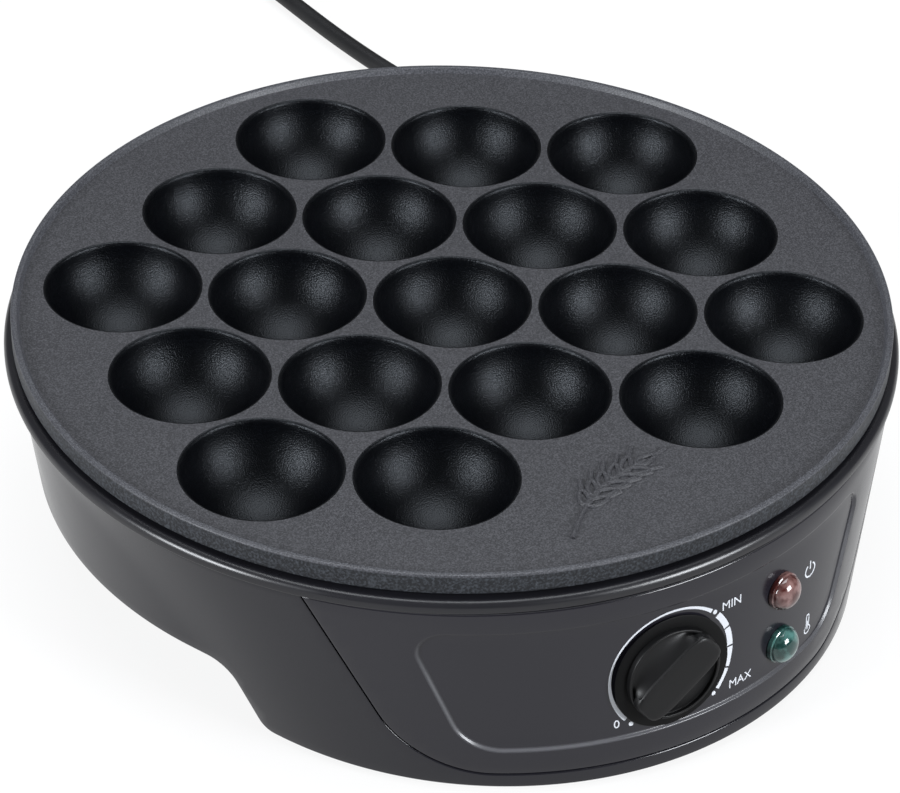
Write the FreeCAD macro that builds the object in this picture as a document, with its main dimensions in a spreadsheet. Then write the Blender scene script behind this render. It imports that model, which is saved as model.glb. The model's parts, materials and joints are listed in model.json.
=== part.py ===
import FreeCAD, Part
import math
import os

import Sketcher
from FreeCAD import Placement, Rotation, Vector

# Round electric ball-cake maker: a cast plate with eighteen cups on a plastic housing.
# Millimetres, +Z up, the table at z = 0 and the control panel facing -Y. The pieces are drawn about the
# plate's axis and set back at the end, so that the origin is the middle of the base from knob to rear rim.

doc = FreeCAD.newDocument("BallCakeMaker")
sheet = doc.addObject("Spreadsheet::Sheet", "Sizes")
nodes = {}


# Sizes with their sheet formulas

class Formula:
    """A size: its value now, and the sheet formula that gives it."""

    def __init__(self, value, text):
        self.value = float(value)
        self.text = text

    def __float__(self):
        return self.value

    def __add__(self, other):
        other = formula(other)
        return Formula(self.value + other.value, f"({self.text} + {other.text})")

    def __sub__(self, other):
        other = formula(other)
        return Formula(self.value - other.value, f"({self.text} - {other.text})")

    def __mul__(self, other):
        other = formula(other)
        return Formula(self.value * other.value, f"({self.text} * {other.text})")

    def __truediv__(self, other):
        other = formula(other)
        return Formula(self.value / other.value, f"({self.text} / {other.text})")

    def __radd__(self, other):
        return formula(other) + self

    def __rsub__(self, other):
        return formula(other) - self

    def __rmul__(self, other):
        return formula(other) * self

    def __neg__(self):
        return Formula(-self.value, f"(0 - {self.text})")


def formula(number):
    """A plain number as a formula, and a formula as it is."""
    if isinstance(number, Formula):
        return number
    return Formula(number, f"({float(number):.9f})")


def size(alias, value):
    """Writes one driving size into the sheet and returns its formula."""
    row = len(size.rows) + 1
    size.rows.append(alias)
    sheet.set(f"A{row}", alias)
    sheet.set(f"B{row}", str(value))
    sheet.setAlias(f"B{row}", alias)
    return Formula(value, f"Sizes.{alias}")


size.rows = []

# Driving sizes: the plate and its cups
cup_dia = size("cup_dia", 40.0)
cup_gap = size("cup_gap", 3.17)
cup_depth = size("cup_depth", 18.5)
cup_wall = size("cup_wall", 1.6)
cup_round = size("cup_round", 0.8)
edge_margin = size("edge_margin", 8.66)
plate_height = size("plate_height", 64.0)
plate_web = size("plate_web", 3.4)
plate_edge = size("plate_edge", 4.2)
plate_skirt = size("plate_skirt", 3.5)
lip_height = size("lip_height", 1.5)
lip_width = size("lip_width", 1.6)
lip_slope = size("lip_slope", 0.7)
lip_break = size("lip_break", 0.5)

# Driving sizes: what carries the plate and heats it
post_dia = size("post_dia", 9.0)
post_inset = size("post_inset", 12.6)
spacer_height = size("spacer_height", 3.0)
sheet_metal = size("sheet_metal", 0.8)
shelf_drop = size("shelf_drop", 23.4)
shelf_thick = size("shelf_thick", 2.6)
shelf_width = size("shelf_width", 13.0)
pan_depth = size("pan_depth", 11.4)
pan_taper = size("pan_taper", 5.0)
shield_height = size("shield_height", 12.0)
element_dia = size("element_dia", 6.5)
element_bend = size("element_bend", 8.0)
element_seat = size("element_seat", 21.0)
element_seat_width = size("element_seat_width", 12.0)
element_leg = size("element_leg", 14.4)
element_end_angle = size("element_end_angle", 14.0)
clip_reach = size("clip_reach", 10.5)
clip_width = size("clip_width", 10.0)
clip_thick = size("clip_thick", 1.0)
clip_hold = size("clip_hold", 5.0)
bushing_dia = size("bushing_dia", 11.8)

# Driving sizes: the housing
ring_overhang = size("ring_overhang", 1.8)
ring_gap = size("ring_gap", 1.3)
ring_height = size("ring_height", 3.3)
ring_width = size("ring_width", 6.8)
wall_inset = size("wall_inset", 2.6)
wall_thick = size("wall_thick", 2.6)
wall_draft = size("wall_draft", 0.1315)
foot_height = size("foot_height", 2.0)
foot_dia = size("foot_dia", 14.0)
arch_height = size("arch_height", 20.0)
arch_half = size("arch_half", 60.0)
arch_flare = size("arch_flare", 7.0)
arch_round = size("arch_round", 8.0)
leg_round = size("leg_round", 4.0)
cover_thick = size("cover_thick", 2.2)
boss_dia = size("boss_dia", 8.4)
pod_top_reach = size("pod_top_reach", 1.7)
pod_base_reach = size("pod_base_reach", 6.9)
pod_top_inset = size("pod_top_inset", 0.5)
pod_base_inset = size("pod_base_inset", 21.5)
pod_wall = size("pod_wall", 4.0)

# Driving sizes: the control panel and what is on it
panel_thick = size("panel_thick", 2.4)
panel_half = size("panel_half", 85.3)
panel_shift = size("panel_shift", 2.8)
panel_slope = size("panel_slope", 0.445)
panel_base = size("panel_base", 6.2)
panel_round = size("panel_round", 26.0)
panel_ledge = size("panel_ledge", 4.0)
inset_depth = size("inset_depth", 0.8)
inset_half = size("inset_half", 65.8)
inset_slope = size("inset_slope", 0.366)
inset_top = size("inset_top", 15.2)
inset_base = size("inset_base", 13.2)
inset_round = size("inset_round", 12.0)
knob_height = size("knob_height", 29.5)
knob_dia = size("knob_dia", 32.0)
knob_face_dia = size("knob_face_dia", 25.6)
knob_face = size("knob_face", 1.9)
knob_cap = size("knob_cap", 1.2)
knob_grip = size("knob_grip", 4.6)
knob_grip_width = size("knob_grip_width", 11.0)
knob_grip_taper = size("knob_grip_taper", 0.6)
knob_round = size("knob_round", 0.6)
knob_off = size("knob_off", 218.0)
shaft_dia = size("shaft_dia", 6.0)
bracket_gap = size("bracket_gap", 5.5)
bracket_thick = size("bracket_thick", 1.5)
bracket_span = size("bracket_span", 22.0)
thermostat_width = size("thermostat_width", 26.0)
thermostat_tall = size("thermostat_tall", 16.0)
thermostat_deep = size("thermostat_deep", 13.0)
thread_dia = size("thread_dia", 9.0)
nut_dia = size("nut_dia", 14.0)
nut_thick = size("nut_thick", 2.2)
shaft_tail = size("shaft_tail", 5.0)
bulb_dia = size("bulb_dia", 4.0)
bulb_length = size("bulb_length", 30.0)
capillary_dia = size("capillary_dia", 1.6)
capillary_side = size("capillary_side", 26.0)
lamp_across = size("lamp_across", 35.2)
lamp_middle = size("lamp_middle", 29.15)
lamp_spacing = size("lamp_spacing", 16.3)
lens_dia = size("lens_dia", 9.6)
lens_reach = size("lens_reach", 4.6)
lamp_dia = size("lamp_dia", 7.0)
lamp_length = size("lamp_length", 12.0)

# Driving sizes: the supply
cord_dia = size("cord_dia", 5.4)
cord_height = size("cord_height", 11.0)
cord_azimuth = size("cord_azimuth", 150.0)
relief_length = size("relief_length", 32.0)
relief_dia = size("relief_dia", 11.0)
relief_flange = size("relief_flange", 1.5)
relief_neck = size("relief_neck", 1.0)
relief_overlap = size("relief_overlap", 10.0)
clamp_length = size("clamp_length", 8.0)
clamp_width = size("clamp_width", 15.0)
clamp_apart = size("clamp_apart", 10.0)
clamp_inside = size("clamp_inside", 18.5)
block_length = size("block_length", 26.0)
block_width = size("block_width", 16.0)
block_tall = size("block_tall", 13.0)
block_side = size("block_side", 12.0)
block_back = size("block_back", 17.0)
terminal_apart = size("terminal_apart", 13.0)
terminal_dia = size("terminal_dia", 4.8)
terminal_deep = size("terminal_deep", 4.0)
lead_dia = size("lead_dia", 2.4)
fuse_dia = size("fuse_dia", 4.2)
fuse_length = size("fuse_length", 16.0)
coil_mid_dia = size("coil_mid_dia", 60.0)
coil_space = size("coil_space", 1.1)
coil_turns = size("coil_turns", 1.75)
tie_thick = size("tie_thick", 0.7)
tie_width = size("tie_width", 5.0)
plug_neck = size("plug_neck", 22.0)
plug_length = size("plug_length", 30.0)
plug_width = size("plug_width", 24.0)
plug_tall = size("plug_tall", 15.0)
blade_length = size("blade_length", 17.5)
blade_width = size("blade_width", 6.35)
blade_thick = size("blade_thick", 1.5)
blade_apart = size("blade_apart", 12.7)

# Driving sizes: fits
seat_gap = size("seat_gap", 0.05)
curve_gap = size("curve_gap", 0.15)
running_gap = size("running_gap", 0.05)
free_gap = size("free_gap", 0.3)
hole_gap = size("hole_gap", 0.2)
end_gap = size("end_gap", 0.1)

# Driving sizes: screws
plate_screw_dia = size("plate_screw_dia", 4.0)
base_screw_dia = size("base_screw_dia", 3.5)
small_screw_dia = size("small_screw_dia", 3.0)
screw_head = size("screw_head", 2.2)
base_screw_hold = size("base_screw_hold", 12.0)
post_hold = size("post_hold", 9.0)
bracket_hold = size("bracket_hold", 4.0)
clamp_screw_hold = size("clamp_screw_hold", 8.0)

doc.recompute()

# Worked-out sizes: the plate
cup_pitch = cup_dia + cup_gap
plate_radius = cup_pitch * 2 + cup_dia / 2 + edge_margin
cup_radius = (cup_dia * cup_dia / 4 + cup_depth * cup_depth) / (cup_depth * 2)
cup_centre = plate_height + cup_radius - cup_depth
plate_under = plate_height - plate_web
shelf_top = plate_height - shelf_drop
shelf_under = shelf_top - shelf_thick
post_circle = plate_radius - post_inset
post_end = shelf_top + sheet_metal + spacer_height
seat_radius = cup_pitch * 1.436
seat_height = plate_height - element_seat
element_height = seat_height - element_dia / 2 - seat_gap

# Worked-out sizes: the housing
ring_radius = plate_radius + ring_overhang
ring_top = plate_height - plate_edge - ring_gap
wall_top = ring_top - ring_height
wall_top_radius = ring_radius - wall_inset
wall_base_radius = wall_top_radius - wall_top * wall_draft
shelf_bore = wall_top_radius - (wall_top - shelf_top) * wall_draft - wall_thick - shelf_width
cover_top = arch_height + cover_thick
floor_top = foot_height + cover_thick
boss_circle = shelf_bore + boss_dia * 0.75
pan_floor = shelf_top - pan_depth

# Worked-out sizes: the front of the housing, an oblique cone that flares towards the table
pod_top_radius = plate_radius - pod_top_inset
pod_base_radius = plate_radius - pod_base_inset
pod_top_front = plate_radius + pod_top_reach
pod_base_front = plate_radius + pod_base_reach
knob_front = pod_base_front - (pod_base_front - pod_top_front) * (knob_height / wall_top) + knob_grip
axis_back = (knob_front - ring_radius) / 2

# Worked-out sizes: the coil of the cord
coil_step = cord_dia + coil_space
coil_outer = coil_mid_dia / 2 + coil_step * coil_turns / 2
coil_low = cord_dia / 2 + tie_thick + curve_gap * 2

CUP_CORNERS = tuple((2, 60 * k, 1.0) for k in range(1, 6))
CUP_MIDDLES = tuple((2, 30 + 60 * k, math.sqrt(0.75)) for k in range(6))
CUP_INNER = tuple((1, 60 * k, 1.0) for k in range(6))
CUP_PLACES = ((0, 0, 1.0),) + CUP_INNER + CUP_MIDDLES + CUP_CORNERS
POST_ANGLES = tuple(30 + 60 * k for k in range(6))
CLIP_ANGLES = (60, 180, 300)
BOSS_ANGLES = (72, 108, 252, 288)
FOOT_PLACES = ((52, -83), (-52, -83), (58, 76), (-58, 76))


# Helpers

def around(radius, degrees):
    """The plan position at an angle from the front, turning towards +X."""
    turn = math.radians(degrees)
    return radius * math.sin(turn), radius * -math.cos(turn)


def bind(item, **formulas):
    """Binds an object's sizes to the sheet."""
    for name, value in formulas.items():
        item.setExpression(name, formula(value).text)
    return item


def seat(item, x=0, y=0, z=0):
    """Binds an object's position to the sheet."""
    for axis, value in zip("xyz", (x, y, z)):
        item.setExpression(f"Placement.Base.{axis}", formula(value).text)
    return item


def round_bar(name, dia, height, placement):
    """A cylinder along the Z axis of a placement."""
    item = bind(doc.addObject("Part::Cylinder", name), Radius=formula(dia) / 2, Height=height)
    item.Placement = placement
    return item


def cylinder(name, dia, height, x=0, y=0, z=0):
    """An upright cylinder, its underside's middle at x, y, z."""
    return seat(round_bar(name, dia, height, Placement()), x, y, z)


def box(name, length, width, height, x=0, y=0, z=0):
    """A block with its middle at x, y and its underside at z."""
    item = bind(doc.addObject("Part::Box", name), Length=length, Width=width, Height=height)
    return seat(item, formula(x) - formula(length) / 2, formula(y) - formula(width) / 2, z)


def cut(name, base, *tools):
    """The base with every tool taken away, one after the other."""
    for number, tool in enumerate(tools):
        item = doc.addObject("Part::Cut", f"{name}_cut{number}")
        item.Base = base
        item.Tool = tool
        base = item
    return base


def fuse(name, *items):
    item = doc.addObject("Part::MultiFuse", name)
    item.Shapes = list(items)
    item.Refine = True
    return item


def common(name, *items):
    item = doc.addObject("Part::MultiCommon", name)
    item.Shapes = list(items)
    return item


def compound(name, items):
    item = doc.addObject("Part::Compound", name)
    item.Links = list(items)
    return item


def plane_sketch(body, name, role):
    """An empty sketch on one of the body's own origin planes."""
    sketch = body.newObject("Sketcher::SketchObject", name)
    plane = [item for item in body.Origin.OriginFeatures if item.Role == role][0]
    sketch.AttachmentSupport = [(plane, "")]
    sketch.MapMode = "FlatFace"
    return sketch


def pin_point(sketch, geometry, end, corner):
    """Holds a point of a sketch at formula distances from its origin."""
    for kind, value in zip(("DistanceX", "DistanceY"), corner):
        value = formula(value)
        if value.value < 0:
            constraint = Sketcher.Constraint(kind, geometry, end, -1, 1, -value.value)
            value = -value
        else:
            constraint = Sketcher.Constraint(kind, -1, 1, geometry, end, value.value)
        index = sketch.addConstraint(constraint)
        sketch.setExpression(f"Constraints[{index}]", value.text)


def outline(sketch, corners):
    """A closed outline of straight lines through formula corners."""
    spots = [Vector(float(x), float(y), 0) for x, y in corners]
    count = len(spots)
    for index in range(count):
        sketch.addGeometry(Part.LineSegment(spots[index], spots[(index + 1) % count]), False)
    for index in range(count):
        sketch.addConstraint(Sketcher.Constraint("Coincident", index, 2, (index + 1) % count, 1))
    for index, corner in enumerate(corners):
        pin_point(sketch, index, 1, corner)


def turned(name, corners):
    """A body turned about its own Z axis from (radius, height) corners."""
    body = doc.addObject("PartDesign::Body", name)
    sketch = plane_sketch(body, f"{name}_profile", "XZ_Plane")
    outline(sketch, corners)
    turn = body.newObject("PartDesign::Revolution", f"{name}_turn")
    turn.Profile = sketch
    turn.ReferenceAxis = (sketch, ["V_Axis"])
    turn.Angle = 360
    return body


def extruded(name, role, corners, length, middle=False):
    """A body padded square to one of its origin planes."""
    body = doc.addObject("PartDesign::Body", name)
    sketch = plane_sketch(body, f"{name}_profile", role)
    outline(sketch, corners)
    pad = body.newObject("PartDesign::Pad", f"{name}_pad")
    pad.Profile = sketch
    if middle:
        pad.SideType = "Symmetric"
    bind(pad, Length=length)
    return body


def rounded(body, radius, chosen):
    """Rounds those edges of a body whose middle the test picks."""
    doc.recompute()
    base = body.Tip
    edges = []
    for index, edge in enumerate(base.Shape.Edges, start=1):
        if chosen(edge.CenterOfMass):
            edges.append(f"Edge{index}")
    fillet = body.newObject("PartDesign::Fillet", f"{body.Name}_round{len(body.Group)}")
    fillet.Base = (base, edges)
    bind(fillet, Radius=radius)
    return body


def keep(label, item, placement=None):
    """Registers a finished sub-part under its node name."""
    item.Label = label
    if placement is not None:
        item.Placement = placement
    nodes[label] = item
    return item


def solid_node(label, shape, placement=None):
    """A sub-part whose shape is worked out in code from the sheet's sizes."""
    item = doc.addObject("Part::Feature", label)
    item.Shape = shape
    return keep(label, item, placement)


def copies(label, item, placements):
    """A node of separate like solids, one at each place."""
    doc.recompute()
    shapes = []
    for placement in placements:
        shape = item.Shape.copy()
        shape.Placement = placement.multiply(shape.Placement)
        shapes.append(shape)
    return solid_node(label, Part.makeCompound(shapes))


def spot(x, y, z, degrees=0):
    return Placement(Vector(float(x), float(y), float(z)), Rotation(Vector(0, 0, 1), degrees))


def widest_bends(points):
    """The radius of the largest arc that the runs beside each corner allow."""
    radii = []
    for before, corner, after in zip(points, points[1:], points[2:]):
        run_in = before - corner
        run_out = after - corner
        turn = math.pi - run_in.getAngle(run_out)
        radii.append(0.45 * min(run_in.Length, run_out.Length) / math.tan(turn / 2))
    return radii


def bent_path(points, radii):
    """Straight runs joined by tangent arcs of the given radii."""
    edges = []
    start = points[0]
    for before, corner, after, radius in zip(points, points[1:], points[2:], radii):
        run_in = before - corner
        run_out = after - corner
        turn = math.pi - run_in.getAngle(run_out)
        reach = radius * math.tan(turn / 2)
        run_in.normalize()
        run_out.normalize()
        enter = corner + run_in * reach
        leave = corner + run_out * reach
        inward = run_in + run_out
        inward.normalize()
        middle = corner + inward * (radius / math.cos(turn / 2) - radius)
        edges.append(Part.LineSegment(start, enter).toShape())
        edges.append(Part.Arc(enter, middle, leave).toShape())
        start = leave
    edges.append(Part.LineSegment(start, points[-1]).toShape())
    return Part.Wire(edges)


def tube(path, dia):
    """A round tube along a wire."""
    first = path.OrderedEdges[0]
    start = first.valueAt(first.FirstParameter)
    ahead = first.tangentAt(first.FirstParameter)
    if first.Orientation == "Reversed":
        start = first.valueAt(first.LastParameter)
        ahead = first.tangentAt(first.LastParameter) * -1
    ring = Part.Wire([Part.Circle(start, ahead, float(dia) / 2).toShape()])
    return path.makePipeShell([ring], True, False)


def screw(name, dia, length):
    """A pan-head screw, its head's underside at z = 0 and its shank along +Z."""
    head_dia = formula(dia) * 1.85
    return turned(name, (
        (0, -screw_head), (head_dia / 2 - 0.5, -screw_head), (head_dia / 2, 0.6 - screw_head),
        (head_dia / 2, 0), (formula(dia) / 2, 0), (formula(dia) / 2, length), (0, length)))


# The housing's volumes

def circle_sketch(body, name, radius, centre, height):
    """A circle square to Z, its middle on the Y axis."""
    sketch = plane_sketch(body, name, "XY_Plane")
    sketch.setExpression("AttachmentOffset.Base.z", formula(height).text)
    middle = Vector(0, float(centre), 0)
    sketch.addGeometry(Part.Circle(middle, Vector(0, 0, 1), float(radius)), False)
    index = sketch.addConstraint(Sketcher.Constraint("Radius", 0, float(radius)))
    sketch.setExpression(f"Constraints[{index}]", formula(radius).text)
    pin_point(sketch, 0, 3, (0, centre))
    return sketch


def pod_volume(name, inset, top):
    """The flared front as a solid, drawn in from its outside by the inset, from the table to a height."""
    share = top / wall_top
    base_centre = pod_base_radius - pod_base_front
    top_centre = base_centre + (pod_top_radius - pod_top_front - base_centre) * share
    top_radius = pod_base_radius + (pod_top_radius - pod_base_radius) * share
    body = doc.addObject("PartDesign::Body", name)
    lower = circle_sketch(body, f"{name}_base", pod_base_radius - inset, base_centre, 0)
    upper = circle_sketch(body, f"{name}_top", top_radius - inset, top_centre, top)
    loft = body.newObject("PartDesign::AdditiveLoft", f"{name}_loft")
    loft.Profile = lower
    loft.Sections = [upper]
    loft.Ruled = True
    return body


def wall_volume(name, inset, top):
    """The round housing as a solid, drawn in from its outside by the inset."""
    item = doc.addObject("Part::Cone", name)
    bind(item, Radius1=wall_base_radius - inset, Height=top,
         Radius2=wall_base_radius + top * wall_draft - inset)
    return item


def under_arch(name, grow):
    """What is cut away below the legs and the arches between them, grown upwards by one thickness."""
    wide = plate_radius * 2
    low = foot_height + grow
    high = arch_height + grow
    inner = arch_half + grow
    outer = inner + arch_flare
    body = extruded(name, "YZ_Plane", (
        (-wide, -wide), (wide, -wide), (wide, low), (outer, low), (inner, high), (-inner, high), (-outer, low),
        (-wide, low)), wide * 2, middle=True)

    def corner(reach, height):
        def at(centre):
            return abs(centre.z - float(height)) < 0.01 and abs(abs(centre.y) - float(reach)) < 0.01
        return at

    rounded(body, arch_round + grow, corner(inner, high))
    return rounded(body, leg_round - grow, corner(outer, low))


def panel_edge(height):
    """Half the panel's width at a height."""
    return panel_half - panel_slope * (wall_top - height)


def inset_edge(height):
    """Half the inset's width at a height."""
    return inset_half - inset_slope * (plate_height - inset_top - height)


def panel_prism(name, edge, grow, top, base, corner_round, top_round=None):
    """A block with the panel's outline seen from the front, from the middle plane out past the front."""
    low = edge(base) + grow
    high = edge(top) + grow
    corners = ((panel_shift - low, base), (panel_shift + low, base), (panel_shift + high, top),
               (panel_shift - high, top))
    body = extruded(name, "XZ_Plane", corners, plate_radius * 1.5)

    def at(height):
        return lambda centre: abs(centre.z - float(height)) < 0.01 and abs(centre.x) > 1 and centre.y < -5

    rounded(body, corner_round, at(base))
    if top_round is not None:
        rounded(body, top_round, at(top))
    return body


def make_rim_ring():
    inner = ring_radius - ring_width
    keep("rim_ring", turned("rim_ring", (
        (inner, wall_top), (ring_radius - 0.3, wall_top), (ring_radius, wall_top + 0.3),
        (ring_radius, ring_top - 0.5), (ring_radius - 0.5, ring_top), (inner, ring_top))))


def make_body_shell(arch, cover_arch):
    """One moulding: round wall, flared front, shelf for the plate's posts and bosses for the base."""
    outer = fuse("shell_outside", wall_volume("wall_outside", 0, wall_top),
                 pod_volume("pod_outside", 0, wall_top))
    hollow = fuse("shell_inside", wall_volume("wall_inside", wall_thick, wall_top + 1),
                  pod_volume("pod_inside", pod_wall, wall_top + 1))
    shelf_disc = wall_volume("shelf_disc", wall_thick / 2, shelf_top)
    shelf_notch = box("shelf_notch", lamp_across * 2 + 16, plate_radius, shelf_thick * 3,
                      0, -plate_radius * 1.2, shelf_under - shelf_thick)
    shelf = cut("shelf", shelf_disc,
                cylinder("shelf_below", plate_radius * 3, shelf_under),
                cylinder("shelf_hole", shelf_bore * 2, shelf_top + 1), shelf_notch)
    pillars = []
    for number, angle in enumerate(BOSS_ANGLES):
        x, y = around(boss_circle, angle)
        pillars.append(cylinder(f"boss{number}", boss_dia, shelf_top, x, y, 0))
    legs = cut("pillars", compound("boss_group", pillars), cover_arch)
    body = fuse("shell_joined", cut("shell_wall", outer, hollow), shelf, legs)
    holes = []
    for number, angle in enumerate(POST_ANGLES):
        x, y = around(post_circle, angle)
        holes.append(cylinder(f"shelf_screw{number}", plate_screw_dia + hole_gap * 2, plate_height,
                              x, y, foot_height))
    for number, angle in enumerate(BOSS_ANGLES):
        x, y = around(boss_circle, angle)
        holes.append(cylinder(f"boss_screw{number}", base_screw_dia + seat_gap * 2,
                              cover_thick + base_screw_hold + 2, x, y, arch_height))
    clear = panel_prism("panel_seat", panel_edge, hole_gap, wall_top + 2, panel_base - hole_gap, panel_round)
    rebate = cut("panel_rebate", clear, pod_volume("pod_ledge", panel_thick, wall_top + 4))
    window = panel_prism("panel_window", panel_edge, -panel_ledge, wall_top - panel_ledge * 1.5,
                         panel_base + panel_ledge, panel_round - panel_ledge)
    gland = round_bar("gland_hole", relief_dia - relief_neck * 2 + hole_gap * 2, wall_base_radius * 1.2,
                      Placement(Vector(0, 0, float(cord_height)), outward_turn()))
    drilled = cut("shell_drilled", body, compound("shell_holes", holes), arch, rebate, window, gland)
    keep("body_shell", drilled)


def outward_turn():
    """The turn that takes Z to the cord's way out."""
    x, y = around(1, float(cord_azimuth))
    return Rotation(Vector(0, 0, 1), Vector(x, y, 0))


def make_base_cover(arch, cover_arch):
    inside = fuse("cover_room", wall_volume("cover_wall", wall_thick + hole_gap, shelf_under),
                  pod_volume("cover_pod", pod_wall + hole_gap, shelf_under))
    strip = cut("cover_strip", common("cover_blank", inside, cover_arch), arch)
    holes = []
    for number, angle in enumerate(BOSS_ANGLES):
        x, y = around(boss_circle, angle)
        holes.append(cylinder(f"cover_screw{number}", base_screw_dia + hole_gap * 2, cover_top, x, y, 1))
    for number, (x, y) in enumerate(FOOT_PLACES):
        holes.append(cylinder(f"cover_foot{number}", foot_dia / 2 + seat_gap * 2, floor_top, x, y, 0))
    keep("base_cover", cut("cover_drilled", strip, compound("cover_holes", holes)))
    pin = screw("base_screw", base_screw_dia, cover_thick + base_screw_hold)
    places = [spot(*around(float(boss_circle), angle), arch_height) for angle in BOSS_ANGLES]
    copies("base_screws", pin, places)
    stem = foot_dia / 4
    foot = turned("rubber_foot", (
        (0, 0), (foot_dia / 2 - 0.8, 0), (foot_dia / 2, 0.8), (foot_dia / 2, foot_height), (stem, foot_height),
        (stem, floor_top), (stem + 0.8, floor_top + 0.3), (stem - 0.6, floor_top + 2.2), (0, floor_top + 2.2)))
    copies("rubber_feet", foot, [spot(x, y, 0) for x, y in FOOT_PLACES])


# The hot side

def make_grill_plate():
    """A cast disc with a lip, eighteen cups, a seat for the element and six posts."""
    rim = plate_radius
    disc = turned("plate_disc", (
        (0, plate_under), (rim - plate_skirt, plate_under), (rim - plate_skirt, plate_height - plate_edge),
        (rim - lip_break, plate_height - plate_edge), (rim, plate_height - plate_edge + lip_break),
        (rim, plate_height + lip_height - lip_break), (rim - lip_break, plate_height + lip_height),
        (rim - lip_width, plate_height + lip_height), (rim - lip_width - lip_slope, plate_height),
        (0, plate_height)))
    joined = [disc]
    hollows = []
    outside = cup_radius + cup_wall
    for number, (ring, angle, share) in enumerate(CUP_PLACES):
        x, y = around(ring * share, angle)
        shell = bind(doc.addObject("Part::Sphere", f"cup_shell{number}"), Radius=outside)
        below = cup_centre - plate_height + plate_web / 2
        shell.setExpression("Angle2", f"-asin(({below.text}) / ({outside.text}))")
        joined.append(seat(shell, cup_pitch * x, cup_pitch * y, cup_centre))
        hollow = bind(doc.addObject("Part::Sphere", f"cup_hollow{number}"), Radius=cup_radius)
        hollows.append(seat(hollow, cup_pitch * x, cup_pitch * y, cup_centre))
    half = element_seat_width / 2
    joined.append(turned("element_seat_ring", (
        (seat_radius - half, seat_height), (seat_radius + half, seat_height),
        (seat_radius + half, plate_under + 1), (seat_radius - half, plate_under + 1))))
    for number, angle in enumerate(CLIP_ANGLES):
        for side in (-1, 1):
            x, y = around(seat_radius + clip_screw_offset() * side, angle)
            name = f"{number}_{side + 1}"
            joined.append(cylinder(f"clip_pad{name}", clip_width, plate_under + 1 - seat_height,
                                   x, y, seat_height))
            hollows.append(cylinder(f"clip_hole{name}", small_screw_dia + seat_gap * 2, clip_hold,
                                    x, y, seat_height))
    for number, angle in enumerate(POST_ANGLES):
        x, y = around(post_circle, angle)
        joined.append(cylinder(f"post{number}", post_dia, plate_under + 1 - post_end, x, y, post_end))
        hollows.append(cylinder(f"post_hole{number}", plate_screw_dia + seat_gap * 2, post_hold + 1,
                                x, y, post_end))
    plate = cut("plate_cups", fuse("plate_blank", *joined), compound("plate_hollows", hollows))
    doc.recompute()
    softened = doc.addObject("Part::Fillet", "plate_rims")
    softened.Base = plate
    edges = []
    face = float(plate_height)
    for index, edge in enumerate(plate.Shape.Edges, start=1):
        level = abs(edge.BoundBox.ZMin - face) < 0.01 and abs(edge.BoundBox.ZMax - face) < 0.01
        if level and abs(edge.Curve.Radius - float(cup_dia) / 2) < 0.05:
            edges.append((index, float(cup_round), float(cup_round)))
    softened.Edges = edges
    keep("grill_plate", softened)


def clip_screw_offset():
    return clip_reach - (clip_reach - element_dia / 2) * 0.42


def make_element():
    """A sheathed ring under the cups, its two ends turned down through the pan at the front."""
    gap = float(element_end_angle)
    radius = float(seat_radius)
    height = float(element_height)
    bend = float(element_bend)
    leg_end = height - float(element_leg)

    def on_ring(degrees):
        x, y = around(radius, degrees)
        return Vector(x, y, height)

    def leg(degrees, sign):
        turn = math.radians(degrees)
        back = Vector(math.cos(turn), math.sin(turn), 0) * (-sign * bend)
        top = on_ring(degrees)
        knee = top + back - Vector(0, 0, bend)
        middle = top - Vector(0, 0, bend) + (back / bend + Vector(0, 0, 1)) * (bend / math.sqrt(2))
        return Vector(knee.x, knee.y, leg_end), knee, middle, top

    foot_a, knee_a, middle_a, top_a = leg(gap, 1)
    foot_b, knee_b, middle_b, top_b = leg(-gap, -1)
    path = Part.Wire([
        Part.LineSegment(foot_a, knee_a).toShape(), Part.Arc(knee_a, middle_a, top_a).toShape(),
        Part.Arc(top_a, on_ring(90), on_ring(180)).toShape(),
        Part.Arc(on_ring(180), on_ring(270), top_b).toShape(),
        Part.Arc(top_b, middle_b, knee_b).toShape(), Part.LineSegment(knee_b, foot_b).toShape()])
    solid_node("heating_element", tube(path, element_dia))
    half = element_dia / 2 + curve_gap * 2
    low = element_height - element_dia / 2 - curve_gap
    top = seat_height
    clip = extruded("element_clip", "XZ_Plane", (
        (-clip_reach, top), (-half, top), (-half, low), (half, low), (half, top), (clip_reach, top),
        (clip_reach, top - clip_thick), (half + clip_thick, top - clip_thick),
        (half + clip_thick, low - clip_thick), (-half - clip_thick, low - clip_thick),
        (-half - clip_thick, top - clip_thick), (-clip_reach, top - clip_thick)), clip_width, middle=True)
    drills = []
    for side in (-1, 1):
        drills.append(cylinder(f"clip_drill{side + 1}", small_screw_dia + hole_gap, plate_height,
                               clip_screw_offset() * side, 0, 0))
    strap = cut("clip_drilled", clip, compound("clip_drills", drills))
    places = []
    screws = []
    for angle in CLIP_ANGLES:
        places.append(spot(*around(radius, angle), 0, angle - 90))
        for side in (-1, 1):
            x, y = around(radius + side * float(clip_screw_offset()), angle)
            screws.append(spot(x, y, top - clip_thick))
    copies("element_clips", strap, places)
    copies("element_clip_screws", screw("clip_screw", small_screw_dia, clip_thick + clip_hold - 0.5), screws)
    return foot_a, foot_b


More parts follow.
